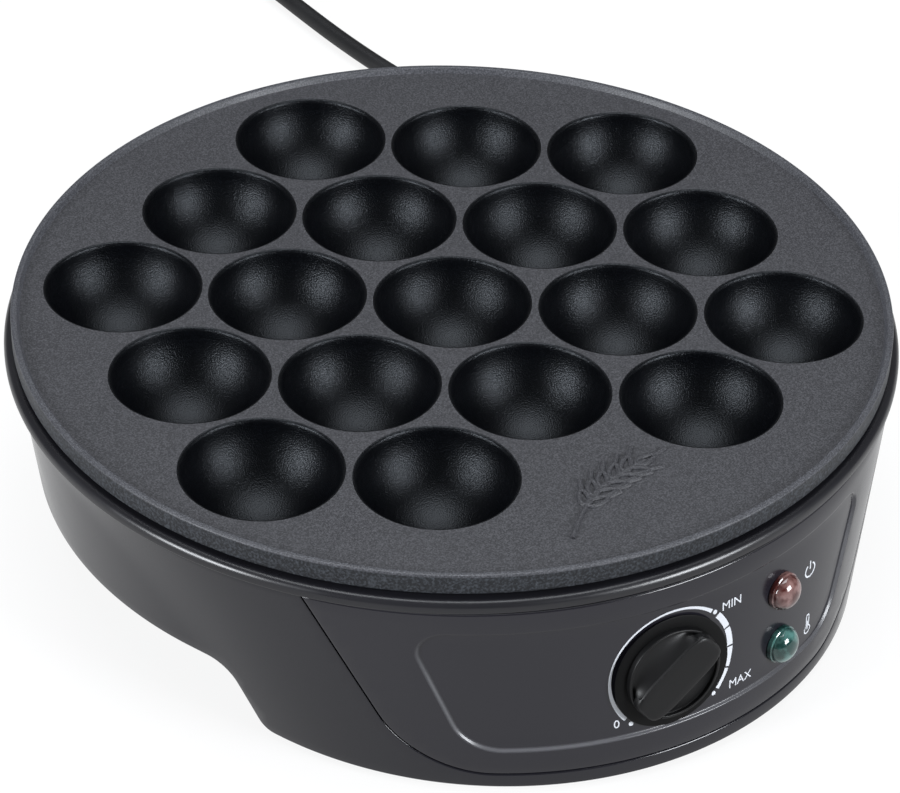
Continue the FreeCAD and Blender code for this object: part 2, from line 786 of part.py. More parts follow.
def make_reflector(foot_a, foot_b):
    """The pan under the element, hung on the shelf, with a shield turned up inside the wall."""
    flange = wall_top_radius - (wall_top - shelf_top) * wall_draft - wall_thick - 1
    top = shelf_top + sheet_metal
    bore = shelf_bore - 1
    low = bore - pan_taper
    edge = shelf_top + shield_height
    shape = turned("pan_blank", (
        (0, pan_floor - sheet_metal), (low, pan_floor - sheet_metal), (bore, shelf_top), (flange, shelf_top),
        (flange, edge), (flange - sheet_metal, edge), (flange - sheet_metal, top), (bore - sheet_metal, top),
        (low - sheet_metal, pan_floor), (0, pan_floor)))
    holes = [cylinder("capillary_hole", capillary_dia * 2.5, plate_height, -capillary_side, -cup_pitch, 0)]
    for number, foot in enumerate((foot_a, foot_b)):
        holes.append(cylinder(f"terminal_hole{number}", bushing_dia - 2, plate_height, foot.x, foot.y, 0))
    for number, angle in enumerate(POST_ANGLES):
        x, y = around(post_circle, angle)
        holes.append(cylinder(f"pan_screw{number}", plate_screw_dia + hole_gap * 2, plate_height, x, y, 0))
    keep("reflector", cut("pan_drilled", shape, compound("pan_holes", holes)))
    neck = bushing_dia / 2 - 1 - seat_gap
    bore = element_dia / 2 + seat_gap
    bushing = turned("terminal_bushing", (
        (bore, -2), (neck, -2), (neck, sheet_metal), (bushing_dia / 2, sheet_metal),
        (bushing_dia / 2, sheet_metal + 2), (bore, sheet_metal + 2)))
    floor = float(pan_floor - sheet_metal)
    copies("terminal_bushings", bushing, [spot(foot.x, foot.y, floor) for foot in (foot_a, foot_b)])
    spacer = turned("post_spacer", (
        (plate_screw_dia / 2 + hole_gap, 0), (post_dia / 2, 0), (post_dia / 2, spacer_height),
        (plate_screw_dia / 2 + hole_gap, spacer_height)))
    posts = [around(float(post_circle), angle) for angle in POST_ANGLES]
    copies("post_spacers", spacer, [spot(x, y, top) for x, y in posts])
    length = post_end + post_hold - shelf_under
    places = [spot(x, y, shelf_under) for x, y in posts]
    copies("plate_screws", screw("plate_screw", plate_screw_dia, length), places)


# The control panel

def panel_spot(x, height, depth=0.0):
    """A frame on the panel's outside: X to the right, Z along the outward normal, sunk by a depth."""
    share = float(height) / float(wall_top)
    base_centre = float(pod_base_radius - pod_base_front)
    top_centre = float(pod_top_radius - pod_top_front)
    centre = base_centre + (top_centre - base_centre) * share
    radius = float(pod_base_radius) + float(pod_top_radius - pod_base_radius) * share
    turn = math.asin(float(x) / radius)
    y = centre - radius * math.cos(turn)
    grow = float(pod_top_radius - pod_base_radius) / float(wall_top)
    shift = (top_centre - base_centre) / float(wall_top)
    normal = Vector(math.sin(turn), -math.cos(turn), shift * math.cos(turn) - grow)
    normal.normalize()
    across = Vector(0, 0, 1).cross(normal)
    across.normalize()
    upward = normal.cross(across)
    turn_to = Rotation(across, upward, normal, "ZXY")
    return Placement(Vector(float(x), y, float(height)) - normal * float(depth), turn_to)


def lamp_places():
    return [panel_spot(lamp_across, lamp_middle + lamp_spacing * side / 2) for side in (1, -1)]


def make_front_panel():
    """A thin moulded panel on the flared front, with a shallow inset for the dial and the lamps."""
    prism = panel_prism("panel_block", panel_edge, formula(0), wall_top - hole_gap, panel_base, panel_round)
    blank = cut("panel_sheet", common("panel_front", prism, pod_volume("pod_panel", 0, wall_top)),
                pod_volume("pod_panel_back", panel_thick - curve_gap, wall_top + 4))
    inset = panel_prism("inset_block", inset_edge, formula(0), plate_height - inset_top, inset_base,
                        inset_round, inset_round / 2)
    recess = cut("panel_inset", inset, pod_volume("pod_inset", inset_depth, wall_top + 4))
    knob = panel_spot(0, knob_height)
    bosses = []
    sunk = knob.multiply(spot(0, 0, -panel_thick * 4))
    drills = [round_bar("shaft_hole", shaft_dia + (free_gap + end_gap) * 2, panel_thick * 8, sunk)]
    for side in (-1, 1):
        place = knob.multiply(spot(bracket_span * side, 0, -bracket_depth()))
        bosses.append(round_bar(f"panel_boss{side + 1}", boss_dia, bracket_gap + 0.6, place))
        drills.append(round_bar(f"panel_boss_hole{side + 1}", small_screw_dia + seat_gap * 2,
                                bracket_gap, place))
    for number, place in enumerate(lamp_places()):
        sunk = place.multiply(spot(0, 0, -panel_thick * 4))
        drills.append(round_bar(f"lens_hole{number}", lamp_dia + hole_gap, panel_thick * 8, sunk))
    backed = fuse("panel_backed", cut("panel_recessed", blank, recess), *bosses)
    keep("front_panel", cut("panel_drilled", backed, compound("panel_drills", drills)))


def panel_back():
    """How far the flat back of the panel's bosses starts behind the panel's outside at the dial."""
    half = float(bracket_span)
    radius = float(pod_base_radius)
    return float(panel_thick) + half * half / (2 * radius)


def make_knob():
    """A round dial with a bar grip, pointing at the off mark, on the thermostat's shaft."""
    axis = panel_spot(0, knob_height)
    base = free_gap + end_gap - inset_depth
    bore = shaft_dia / 2 + seat_gap
    face = knob_face_dia / 2
    dial = turned("knob_dial", (
        (bore, base), (knob_dia / 2, base), (knob_dia / 2, base + 0.8), (face + 0.3, base + 1.1),
        (face, knob_face - 0.4), (face - 0.4, knob_face), (bore, knob_face)))
    wide = knob_grip_width / 2
    narrow = wide - knob_grip_taper
    grip = extruded("knob_bar", "XZ_Plane", (
        (-wide, knob_face - 0.5), (wide, knob_face - 0.5), (narrow, knob_grip), (-narrow, knob_grip)),
        knob_face_dia, middle=True)
    trimmed = common("knob_grip", grip, cylinder("knob_bound", knob_face_dia - 1, knob_grip + 1))
    doc.recompute()
    softened = doc.addObject("Part::Fillet", "knob_softened")
    softened.Base = trimmed
    edges = []
    for index, edge in enumerate(trimmed.Shape.Edges, start=1):
        if abs(edge.CenterOfMass.z - float(knob_grip)) < 0.01:
            edges.append((index, float(knob_round), float(knob_round)))
    softened.Edges = edges
    softened.Placement = Placement(Vector(), Rotation(Vector(0, 0, 1), float(knob_off) - 90))
    whole = cut("knob_whole", fuse("knob_joined", dial, softened),
                cylinder("knob_bore", bore * 2, knob_grip - knob_cap))
    keep("control_knob", whole, axis)
    back = bracket_depth() + bracket_thick
    tail = -back - shaft_tail
    tip = knob_grip - knob_cap - free_gap
    shaft = turned("thermostat_shaft", ((0, tail), (shaft_dia / 2, tail), (shaft_dia / 2, tip), (0, tip)))
    keep("thermostat_shaft", shaft, axis)


def bracket_depth():
    """How far the bracket's front lies behind the panel's outside at the dial."""
    return bracket_gap + panel_back()


def make_thermostat():
    """The thermostat on its bracket behind the panel, with the feeler under the middle cup."""
    axis = panel_spot(0, knob_height)
    front = bracket_depth()
    back = front + bracket_thick
    plate = box("bracket_blank", bracket_span * 2 + boss_dia, thermostat_tall, bracket_thick, 0, 0, -back)
    holes = [cylinder("bushing_hole", thread_dia + hole_gap, front * 2, 0, 0, -front * 2)]
    screws = []
    for side in (-1, 1):
        holes.append(cylinder(f"bracket_hole{side + 1}", small_screw_dia + hole_gap * 2, front * 2,
                              bracket_span * side, 0, -front * 2))
        screws.append(axis.multiply(spot(bracket_span * side, 0, -back)))
    keep("thermostat_bracket", cut("bracket_drilled", plate, compound("bracket_holes", holes)), axis)
    copies("bracket_screws", screw("bracket_screw", small_screw_dia, bracket_thick + bracket_hold), screws)
    case = box("thermostat_case", thermostat_width, thermostat_tall, thermostat_deep,
               0, 0, -back - thermostat_deep)
    neck = cylinder("thermostat_neck", thread_dia, bracket_thick + nut_thick * 1.8, 0, 0, -back)
    bore = cylinder("thermostat_bore", shaft_dia + running_gap * 2, thermostat_deep + front, 0, 0,
                    -back - shaft_tail - free_gap)
    keep("thermostat_body", cut("thermostat_bored", fuse("thermostat_whole", case, neck), bore), axis)
    nut = turned("thermostat_nut", (
        (thread_dia / 2 + seat_gap, -front), (nut_dia / 2, -front), (nut_dia / 2, nut_thick - front),
        (thread_dia / 2 + seat_gap, nut_thick - front)))
    keep("thermostat_nut", nut, axis)
    height = float(plate_height - cup_depth - cup_wall - bulb_dia / 2 - seat_gap)
    near = -float(cup_pitch)
    bulb_end = Vector(-float(bulb_length) / 2, near, height)
    bulb = Part.makeCylinder(float(bulb_dia) / 2, float(bulb_length), bulb_end, Vector(1, 0, 0))
    rear = axis.multVec(Vector(-float(thermostat_width) * 0.3, 0, -float(back + thermostat_deep + end_gap)))
    low = float(pan_floor - sheet_metal - capillary_dia * 2)
    side = -float(capillary_side)
    line = [bulb_end, Vector(side, near, height), Vector(side, near, low), Vector(side, rear.y + 21, low),
            Vector(rear.x, rear.y + 8, rear.z), rear]
    bends = [float(capillary_dia) * 1.9] * (len(line) - 2)
    fine_tube = tube(bent_path(line, bends), capillary_dia)
    solid_node("sensor_capillary", bulb.fuse(fine_tube).removeSplitter())


def make_lamps():
    """Two domed lenses pressed through the panel, each with its lamp behind."""
    head = lens_dia / 2
    stem = lamp_dia / 2
    face = -inset_depth
    tail = -panel_thick - 1
    front = tail - seat_gap
    end = front - lamp_length
    lens = turned("lens", (
        (0, tail), (stem, tail), (stem, face + seat_gap), (head, face + seat_gap),
        (head, face + lens_reach * 0.45), (head * 0.8, face + lens_reach * 0.9),
        (head * 0.45, face + lens_reach), (0, face + lens_reach)))
    body = turned("lamp", ((0, end), (stem - 0.6, end), (stem, end + 0.6), (stem, front), (0, front)))
    places = lamp_places()
    copies("power_lamp_lens", lens, places[:1])
    copies("ready_lamp_lens", lens, places[1:])
    copies("lamp_bodies", body, places)


# The supply

def relief_seat():
    """How far from the plate's axis the strain relief's flange meets the sloping wall."""
    upper_edge = cord_height + relief_dia / 2 + relief_flange
    return float(wall_base_radius + upper_edge * wall_draft + seat_gap)


def make_supply_inside(foot_a, foot_b):
    """Strain relief, clamp, terminal block, fuse and leads inside the housing."""
    out = outward_turn()
    lean = relief_dia * wall_draft * 1.5
    seat_out = relief_seat()
    at = Placement(Vector(*around(seat_out, float(cord_azimuth)), float(cord_height)), out)
    bore = cord_dia / 2 + seat_gap * 2
    inward = wall_thick + 7
    tip = relief_length
    neck = relief_dia / 2 - relief_neck
    flange = relief_dia / 2 + relief_flange
    relief = turned("relief", (
        (bore, -inward), (neck, -inward), (neck, 0), (flange, 0), (flange, 2.2), (relief_dia / 2 - 0.6, 3.2),
        (cord_dia / 2 + 0.9, tip), (bore, tip)))
    keep("cord_strain_relief", relief, at)
    lock_front = -wall_thick - lean - end_gap
    lock = turned("relief_lock", (
        (neck + seat_gap, 0.6 - inward), (relief_dia / 2 + 1, 0.6 - inward), (relief_dia / 2 + 1, lock_front),
        (neck + seat_gap, lock_front)))
    keep("strain_relief_lock", lock, at)
    inner_end = -clamp_inside - clamp_length * 0.8
    meet = tip - relief_overlap
    stub = turned("inner_cord", ((0, inner_end), (cord_dia / 2, inner_end), (cord_dia / 2, meet), (0, meet)))
    keep("inner_cord", stub, at)
    floor = float(floor_top)
    clamp_height = cord_height + cord_dia / 2 + 2 - floor_top
    clamp = box("clamp_block", clamp_length, clamp_width, clamp_height, 0, 0, 0)
    middle = Vector(-float(clamp_length), 0, float(cord_height) - floor)
    through = Placement(middle, Rotation(Vector(0, 1, 0), 90))
    slot = round_bar("clamp_bore", cord_dia + seat_gap * 4, clamp_length * 2, through)
    drills = []
    for side in (-1, 1):
        drills.append(cylinder(f"clamp_drill{side + 1}", small_screw_dia + seat_gap * 2, clamp_screw_hold + 1,
                               0, clamp_apart / 2 * side, clamp_height - clamp_screw_hold - 1))
    place = spot(*around(seat_out - float(clamp_inside), float(cord_azimuth)), floor, float(cord_azimuth) - 90)
    keep("cord_clamp", cut("clamp_bored", clamp, slot, compound("clamp_drills", drills)), place)
    upright = Rotation(Vector(1, 0, 0), 180)
    heads = []
    for side in (-1, 1):
        head = Vector(0, float(clamp_apart) / 2 * side, float(clamp_height))
        heads.append(place.multiply(Placement(head, upright)))
    copies("clamp_screws", screw("clamp_screw", small_screw_dia, clamp_screw_hold), heads)
    block_x = float(block_side)
    block_y = float(arch_half + arch_flare + block_back)
    half = terminal_apart / 2
    shell = box("terminal_case", block_length, block_width, block_tall, 0, 0, 0)
    wells = []
    for side in (-1, 1):
        wells.append(cylinder(f"terminal_well{side + 1}", terminal_dia + hole_gap, terminal_deep + 1,
                              half * side, 0, block_tall - terminal_deep))
    place = spot(block_x, block_y, floor)
    keep("terminal_block", cut("terminal_drilled", shell, compound("terminal_wells", wells)), place)
    grub_top = terminal_deep * 0.65
    grub_edge = terminal_dia / 2
    grub = turned("terminal_screw", ((0, 0), (grub_edge, 0), (grub_edge, grub_top), (0, grub_top)))
    top = floor + float(block_tall - terminal_deep)
    copies("terminal_screws", grub, [spot(block_x + float(half) * side, block_y, top) for side in (-1, 1)])
    make_leads(foot_a, foot_b, block_x, block_y)


def make_leads(foot_a, foot_b, block_x, block_y):
    """The leads from the terminal block to the thermostat and the element, with the thermal fuse on one."""
    low = float(cover_top + fuse_dia / 2 + hole_gap * 3)
    face = block_y - float(block_width / 2 + end_gap)
    rise = float(floor_top + block_tall - terminal_deep)
    axis = panel_spot(0, knob_height)
    back = -float(bracket_depth() + bracket_thick + thermostat_deep + end_gap)
    live_end = axis.multVec(Vector(9, -4, back))
    element_end = axis.multVec(Vector(-2, -4, back))
    under = foot_a.z - float(lead_dia / 2 + end_gap)

    def from_block(side):
        x = block_x + float(terminal_apart) / 2 * side
        return [Vector(x, face, rise), Vector(x, face - 4, rise), Vector(x + 2 * side, face - 13, low)]

    run_start = from_block(-1)[-1]
    run_end = Vector(-2, -40, low)
    lead("lead_live", from_block(-1) + [run_end, Vector(live_end.x, live_end.y + 9, live_end.z), live_end])
    lead("lead_neutral", from_block(1) + [Vector(24, -20, low), Vector(foot_a.x, foot_a.y + 1, under)])
    lead("lead_element", [Vector(foot_b.x, foot_b.y + 1, under), Vector(foot_b.x + 2, foot_b.y - 15, under),
                          Vector(element_end.x, element_end.y + 9, element_end.z), element_end])
    along = run_end - run_start
    along.normalize()
    middle = (run_start + run_end) * 0.5
    length = float(fuse_length)
    sleeve = Part.makeCylinder(float(fuse_dia) / 2, length, middle, along)
    bore = Part.makeCylinder(float(lead_dia) / 2 + float(seat_gap) * 2, length, middle, along)
    solid_node("thermal_fuse", sleeve.cut(bore))


def lead(label, points):
    """One insulated lead along straight runs and small bends."""
    bend = float(lead_dia) * 1.7
    solid_node(label, tube(bent_path(points, [bend] * (len(points) - 2)), lead_dia))


# The cord's way over the table from the strain relief to the coil, about the plate's axis
ROUTE = ((83.2, 147.0, 8.4), (85.8, 165.0, 5.0), (82.7, 182.5, 3.75), (77.9, 200.0, 3.65),
         (74.0, 218.0, 3.65), (70.9, 236.5, 3.65), (68.2, 255.5, 3.65), (64.7, 274.5, 3.65),
         (62.2, 292.0, 3.65))


def biarc(start, start_way, end, end_way):
    """Two tangent arcs from one point and direction to another."""
    across = end - start
    ways = start_way + end_way
    turn = 2 * (1 - start_way.dot(end_way))
    along = across.dot(ways)
    if turn < 1e-9:
        reach = across.dot(across) / (4 * across.dot(end_way))
    else:
        reach = (math.sqrt(along * along + turn * across.dot(across)) - along) / turn
    middle = (start + end + (start_way - end_way) * reach) * 0.5
    return [arc_from(start, start_way, middle), arc_from(end, end_way * -1, middle, True)]


def arc_from(start, way, end, backward=False):
    """One arc that leaves a point along a direction and ends at another."""
    chord = end - start
    side = chord - way * chord.dot(way)
    if side.Length < 1e-6:
        points = (end, start) if backward else (start, end)
        return Part.LineSegment(*points).toShape()
    side.normalize()
    radius = chord.dot(chord) / (2 * chord.dot(side))
    centre = start + side * radius
    toward = (start + end) * 0.5 - centre
    toward.normalize()
    middle = centre + toward * radius
    if backward:
        return Part.Arc(end, middle, start).toShape()
    return Part.Arc(start, middle, end).toShape()


def smooth(share):
    """A smooth rise from 0 to 1, and its slope."""
    share = min(max(share, 0.0), 1.0)
    return share * share * (3 - 2 * share), 6 * share * (1 - share)


def coil_course():
    """The coil: in along the table, up a layer where the spiral turns, and out again above."""
    step = float(coil_step)
    inward = float(coil_turns)
    outer = float(coil_outer)
    low = float(coil_low)
    stations = []
    half = 0.5
    total = 2 * inward + half
    quarter = 0.25
    for index in range(round(total / quarter) + 1):
        turns = index * quarter
        rise, slope = smooth((turns - inward) / half)
        if turns < inward:
            radius, change = outer - step * turns, -step
        elif turns > inward + half:
            radius, change = outer - step * inward + step * (turns - inward - half), step
        else:
            past = turns - inward
            radius, change = outer - step * (inward + past * (1 - past / half)), step * (2 * past / half - 1)
        climb = slope / half * step
        stations.append((turns, radius, change, low + step * rise, climb))
    return stations


def make_cord():
    """The flex from the strain relief over the table to a tied coil with the plug beside it."""
    reach = relief_seat()
    inside = reach + float(relief_length - relief_overlap)
    outside = reach + float(relief_length) + 8
    start = Vector(*around(inside, float(cord_azimuth)), float(cord_height))
    mouth = Vector(*around(outside, float(cord_azimuth)), float(cord_height))
    points = [start, mouth] + [Vector(*point) for point in ROUTE]
    radii = widest_bends(points)
    path = bent_path(points, radii)
    flex = tube(path, cord_dia)
    section = math.pi * float(cord_dia) ** 2 / 4
    print("cord bend radii", [round(radius, 1) for radius in radii])
    print("cord tube", round(path.Length, 1), round(flex.Volume / (section * path.Length), 5))
    solid_node("mains_cord", flex)

    last = points[-1]
    ahead = last - points[-2]
    ahead.normalize()
    side = Vector(-ahead.y, ahead.x, 0)
    stations = coil_course()
    straight = float(cord_dia) * 1.05
    entry = last + ahead * straight
    centre = entry - side * float(coil_outer)
    centre.z = 0
    turned_points = []
    for turns, radius, change, height, climb in stations:
        angle = turns * 2 * math.pi
        radial = side * math.cos(angle) + ahead * math.sin(angle)
        forward = ahead * math.cos(angle) - side * math.sin(angle)
        where = centre + radial * radius + Vector(0, 0, height)
        way = forward * (radius * 2 * math.pi) + radial * change + Vector(0, 0, climb)
        way.normalize()
        turned_points.append((where, way))
    turned_points[0] = (Vector(entry.x, entry.y, last.z), ahead)
    edges = [Part.LineSegment(last, turned_points[0][0]).toShape()]
    for (here, way), (there, next_way) in zip(turned_points, turned_points[1:]):
        edges.extend(biarc(here, way, there, next_way))
    end, end_way = turned_points[-1]
    flat_way = Vector(end_way.x, end_way.y, 0)
    flat_way.normalize()
    rest = end + flat_way * (float(cord_dia) * 4.5)
    rest.z = float(plug_tall / 2 + free_gap)
    edges.extend(biarc(end, end_way, rest, flat_way))
    tail = rest + flat_way * straight
    edges.append(Part.LineSegment(rest, tail).toShape())
    course = Part.Wire(edges)
    wound = tube(course, cord_dia)
    print("coil", round(course.Length, 1), round(wound.Volume / (section * course.Length), 5))
    print("coil least gap to itself", round(least_gap(course, float(cord_dia)), 2))
    print("cord length", round(path.Length + course.Length, 1))
    solid_node("cord_coil", wound)
    make_tie(centre, side, ahead)
    make_plug(tail, flat_way)


def least_gap(course, dia):
    """The least clear distance between turns of the tube, on points along its course."""
    points = course.discretize(Number=900)
    step = course.Length / (len(points) - 1)
    apart = int(dia * 2.5 / step) + 1
    best = 1e9
    for index, point in enumerate(points):
        for other in points[index + apart:]:
            best = min(best, point.distanceToPoint(other))
    return best - dia


def make_tie(centre, side, ahead):
    """A flat tie round both layers, across the side of the coil."""
    outer = float(coil_outer)
    inner = outer - float(coil_step * coil_turns)
    half = float(cord_dia / 2 + free_gap * 1.5)
    low = float(end_gap)
    high = float(coil_low + cord_dia / 2 + coil_step + free_gap * 1.5)
    thick = float(tie_thick)
    turn = math.degrees(math.atan2(side.y, side.x)) + 120
    band = Part.makeBox(outer - inner + 2 * (half + thick), float(tie_width), high + thick - low,
                        Vector(inner - half - thick, -float(tie_width) / 2, low))
    room = Part.makeBox(outer - inner + 2 * half, float(tie_width) + 2, high - low - thick,
                        Vector(inner - half, -float(tie_width) / 2 - 1, low + thick))
    loop = band.cut(room)
    solid_node("cord_tie", loop, spot(centre.x, centre.y, 0, turn))


def make_plug(tail, way):
    """A flat two-blade plug lying on the table at the cord's end."""
    turn = math.degrees(math.atan2(way.y, way.x))
    relief = float(plug_neck)
    half_wide = float(plug_width) / 2
    half_tall = float(plug_tall) / 2

    def frame(x, wide, tall):
        spots = []
        for y, z in ((1, 1), (-1, 1), (-1, -1), (1, -1)):
            spots.append(Vector(x, y * wide, z * tall))
        return Part.makePolygon(spots + spots[:1])

    sections = [frame(relief, half_wide * 0.62, half_tall * 0.72), frame(relief + 9, half_wide, half_tall),
                frame(relief + float(plug_length), half_wide, half_tall)]
    case = Part.makeLoft(sections, True, True)
    lengthwise = [edge for edge in case.Edges if abs(edge.tangentAt(edge.FirstParameter).x) > 0.5]
    case = case.makeFillet(2.5, lengthwise)
    bare = float(cord_dia) / 2
    neck = Part.makeCone(bare + 0.8, bare + 2.2, relief, Vector(0, 0, 0), Vector(1, 0, 0))
    case = case.fuse(neck).removeSplitter()
    slots = []
    blades = []
    sunk = float(plug_length) * 0.2
    start = relief + float(plug_length) - sunk
    for side in (-1, 1):
        for gap, group in ((0.0, blades), (float(seat_gap), slots)):
            thick = float(blade_thick) + 2 * gap
            wide = float(blade_width) + 2 * gap
            corner = Vector(start, float(blade_apart) / 2 * side - thick / 2, -wide / 2)
            group.append(Part.makeBox(float(blade_length) + sunk, thick, wide, corner))
    place = spot(tail.x, tail.y, tail.z, turn)
    solid_node("plug_body", case.cut(slots), place)
    solid_node("plug_blades", Part.makeCompound(blades), place)


def main():
    arch = under_arch("under_arch", formula(0))
    cover_arch = under_arch("over_arch", cover_thick)
    make_grill_plate()
    feet = make_element()
    make_reflector(*feet)
    make_rim_ring()
    make_body_shell(arch, cover_arch)
    make_base_cover(arch, cover_arch)
    make_front_panel()
    make_knob()
    make_thermostat()
    make_lamps()
    make_supply_inside(*feet)
    make_cord()
    to_origin = Placement(Vector(0, float(axis_back), 0), Rotation())
    for item in nodes.values():
        item.Placement = to_origin.multiply(item.Placement)
    doc.recompute()
    for item in doc.Objects:
        if "Invalid" in item.State or "Error" in item.State:
            raise RuntimeError(f"{item.Name} ({item.Label}) did not build: {item.State}")
    for label, item in nodes.items():
        if item.Shape.isNull() or not item.Shape.isValid():
            raise RuntimeError(f"{label} has no valid shape")
    os.makedirs("parts", exist_ok=True)
    for label, item in nodes.items():
        item.Shape.exportStep(os.path.join("parts", f"{label}.step"))
        print(label, len(item.Shape.Solids), round(item.Shape.Volume / 1000, 2), "cm3")


main()
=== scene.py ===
"""Looks of a round electric ball-cake maker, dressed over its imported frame, in metres."""
import json
import logging
import math
from dataclasses import dataclass, field
from enum import Enum
from typing import Callable, Iterable, Sequence

import bmesh
import bpy
from mathutils import Matrix, Vector
from mathutils.geometry import delaunay_2d_cdt


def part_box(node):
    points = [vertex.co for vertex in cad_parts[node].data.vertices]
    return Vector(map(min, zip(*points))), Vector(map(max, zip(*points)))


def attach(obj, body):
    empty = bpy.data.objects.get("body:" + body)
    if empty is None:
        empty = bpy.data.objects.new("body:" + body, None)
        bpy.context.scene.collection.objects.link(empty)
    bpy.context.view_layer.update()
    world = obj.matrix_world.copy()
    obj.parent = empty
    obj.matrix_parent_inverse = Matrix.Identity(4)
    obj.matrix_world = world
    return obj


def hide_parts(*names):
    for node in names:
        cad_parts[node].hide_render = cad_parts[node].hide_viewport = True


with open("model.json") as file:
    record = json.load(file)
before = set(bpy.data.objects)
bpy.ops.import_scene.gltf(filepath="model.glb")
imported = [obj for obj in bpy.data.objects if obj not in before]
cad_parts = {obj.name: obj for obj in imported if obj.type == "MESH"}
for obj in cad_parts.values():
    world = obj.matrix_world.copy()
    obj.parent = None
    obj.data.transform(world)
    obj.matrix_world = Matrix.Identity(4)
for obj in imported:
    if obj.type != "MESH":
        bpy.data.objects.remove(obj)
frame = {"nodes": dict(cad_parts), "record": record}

LOG = logging.getLogger("ball_cake_maker")
MM = 0.001
FULL_TURN = 2 * math.pi
UP = Vector((0.0, 0.0, 1.0))
HOUSING = "housing"
KNOB = "knob"
EDGE_HIGHLIGHT = "wear"
CREASE = 40.0

Point2 = tuple[float, float]
Colour = tuple[float, float, float]
Link = tuple[bpy.types.Node, str | int, bpy.types.Node, str | int]


class Side(Enum):
    """The two sides of the object, as signs along X."""

    LEFT = -1
    RIGHT = 1


class Pattern(Enum):
    """What breaks up the surface of a finish, by the name of its shader group."""

    SPECKLE = "fleck_coat"
    GRAIN = "mould_grain"


def bearing(degrees: float, rise: float = 0.0) -> Vector:
    """The direction at an angle from the front, turning towards +X, raised by some degrees."""
    turn, lift = math.radians(degrees), math.radians(rise)
    return Vector((math.sin(turn) * math.cos(lift), -math.cos(turn) * math.cos(lift), math.sin(lift)))


# Node trees

def new_tree(name: str, kind: str, inputs: dict[str, str], outputs: dict[str, str]) -> bpy.types.NodeTree:
    """Makes a node tree with its sockets.

    Args:
        name: the tree's name.
        kind: the tree's type.
        inputs: types of the input sockets by name.
        outputs: types of the output sockets by name.

    Returns:
        The tree, whose first two nodes are named in and out.
    """
    tree = bpy.data.node_groups.new(name, kind)
    for side, sockets in (("INPUT", inputs), ("OUTPUT", outputs)):
        for label, socket in sockets.items():
            tree.interface.new_socket(label, in_out=side, socket_type=f"NodeSocket{socket}")
    tree.nodes.new("NodeGroupInput").name = "in"
    tree.nodes.new("NodeGroupOutput").name = "out"
    return tree


def set_inputs(node: bpy.types.Node, values: dict[str | int, object]) -> bpy.types.Node:
    """Sets values of a node's inputs, by name or number.

    Args:
        node: the node.
        values: the values.

    Returns:
        The same node.
    """
    for entry, value in values.items():
        node.inputs[entry].default_value = value
    return node


def add_node(tree: bpy.types.NodeTree, kind: str, values: dict[str | int, object] | None = None,
             **settings: object) -> bpy.types.Node:
    """Adds a node to a tree.

    Args:
        tree: the tree.
        kind: the node's type.
        values: values of its inputs, by name or number.
        settings: the node's own properties.

    Returns:
        The node.
    """
    node = tree.nodes.new(kind)
    for name, setting in settings.items():
        setattr(node, name, setting)
    return set_inputs(node, values or {})


def wire(tree: bpy.types.NodeTree, *links: Link) -> None:
    """Links nodes of a tree.

    Args:
        tree: the tree.
        links: for each link a node, its output, the next node and its input.
    """
    for start, output, end, entry in links:
        tree.links.new(start.outputs[output], end.inputs[entry])


def add_noise(group: bpy.types.NodeTree, detail: float, times: float) -> bpy.types.Node:
    """Adds a noise on object coordinates to a shader group.

    Args:
        group: the group.
        detail: octaves of the noise.
        times: how much finer it is than the group's scale.

    Returns:
        The noise node.
    """
    coords = add_node(group, "ShaderNodeTexCoord")
    scale = add_node(group, "ShaderNodeMath", {1: times}, operation="MULTIPLY")
    noise = add_node(group, "ShaderNodeTexNoise", {"Detail": detail})
    wire(group, (group.nodes["in"], "Scale", scale, 0), (coords, "Object", noise, "Vector"),
         (scale, 0, noise, "Scale"))
    return noise


def make_effect(pattern: Pattern, height: Point2, mask: Point2, uneven: Point2) -> bpy.types.NodeTree:
    """Makes the shader group of a pattern, from three noises given as (octaves, times finer than the scale).

    Args:
        pattern: the pattern.
        height: the noise of the fine relief.
        mask: the noise that mixes the two tones.
        uneven: the noise of the gloss.

    Returns:
        The group.
    """
    inputs = dict.fromkeys(("Scale", "Low", "High"), "Float")
    outputs = dict.fromkeys(("Mask", "Uneven", "Height"), "Float")
    group = new_tree(pattern.value, "ShaderNodeTree", inputs, outputs)
    start, end = group.nodes["in"], group.nodes["out"]
    ramp = add_node(group, "ShaderNodeMapRange")
    wire(group, (add_noise(group, *mask), "Fac", ramp, "Value"), (start, "Low", ramp, "From Min"),
         (start, "High", ramp, "From Max"), (ramp, "Result", end, "Mask"),
         (add_noise(group, *uneven), "Fac", end, "Uneven"), (add_noise(group, *height), "Fac", end, "Height"))
    return group


GROUPS = {
    Pattern.SPECKLE: make_effect(Pattern.SPECKLE, height=(1.5, 1.0), mask=(1.5, 1.0), uneven=(3.0, 0.02)),
    Pattern.GRAIN: make_effect(Pattern.GRAIN, height=(2.0, 1.0), mask=(3.0, 0.03), uneven=(5.0, 0.09)),
}


def make_copies_tree() -> bpy.types.NodeTree:
    """A tree that sets one copy of a piece at every point of a mesh.

    Returns:
        The tree, with inputs Piece and Finish.
    """
    inputs = {"Geometry": "Geometry", "Piece": "Object", "Finish": "Material"}
    tree = new_tree("copies_at_points", "GeometryNodeTree", inputs, {"Geometry": "Geometry"})
    start, end = tree.nodes["in"], tree.nodes["out"]
    kinds = ("ObjectInfo", "InstanceOnPoints", "RealizeInstances", "SetMaterial")
    source, spread, real, dress = (tree.nodes.new(f"GeometryNode{kind}") for kind in kinds)
    wire(tree, (start, "Piece", source, "Object"), (start, "Geometry", spread, "Points"),
         (source, "Geometry", spread, "Instance"), (spread, "Instances", real, "Geometry"),
         (real, "Geometry", dress, "Geometry"), (start, "Finish", dress, "Material"),
         (dress, "Geometry", end, "Geometry"))
    return tree


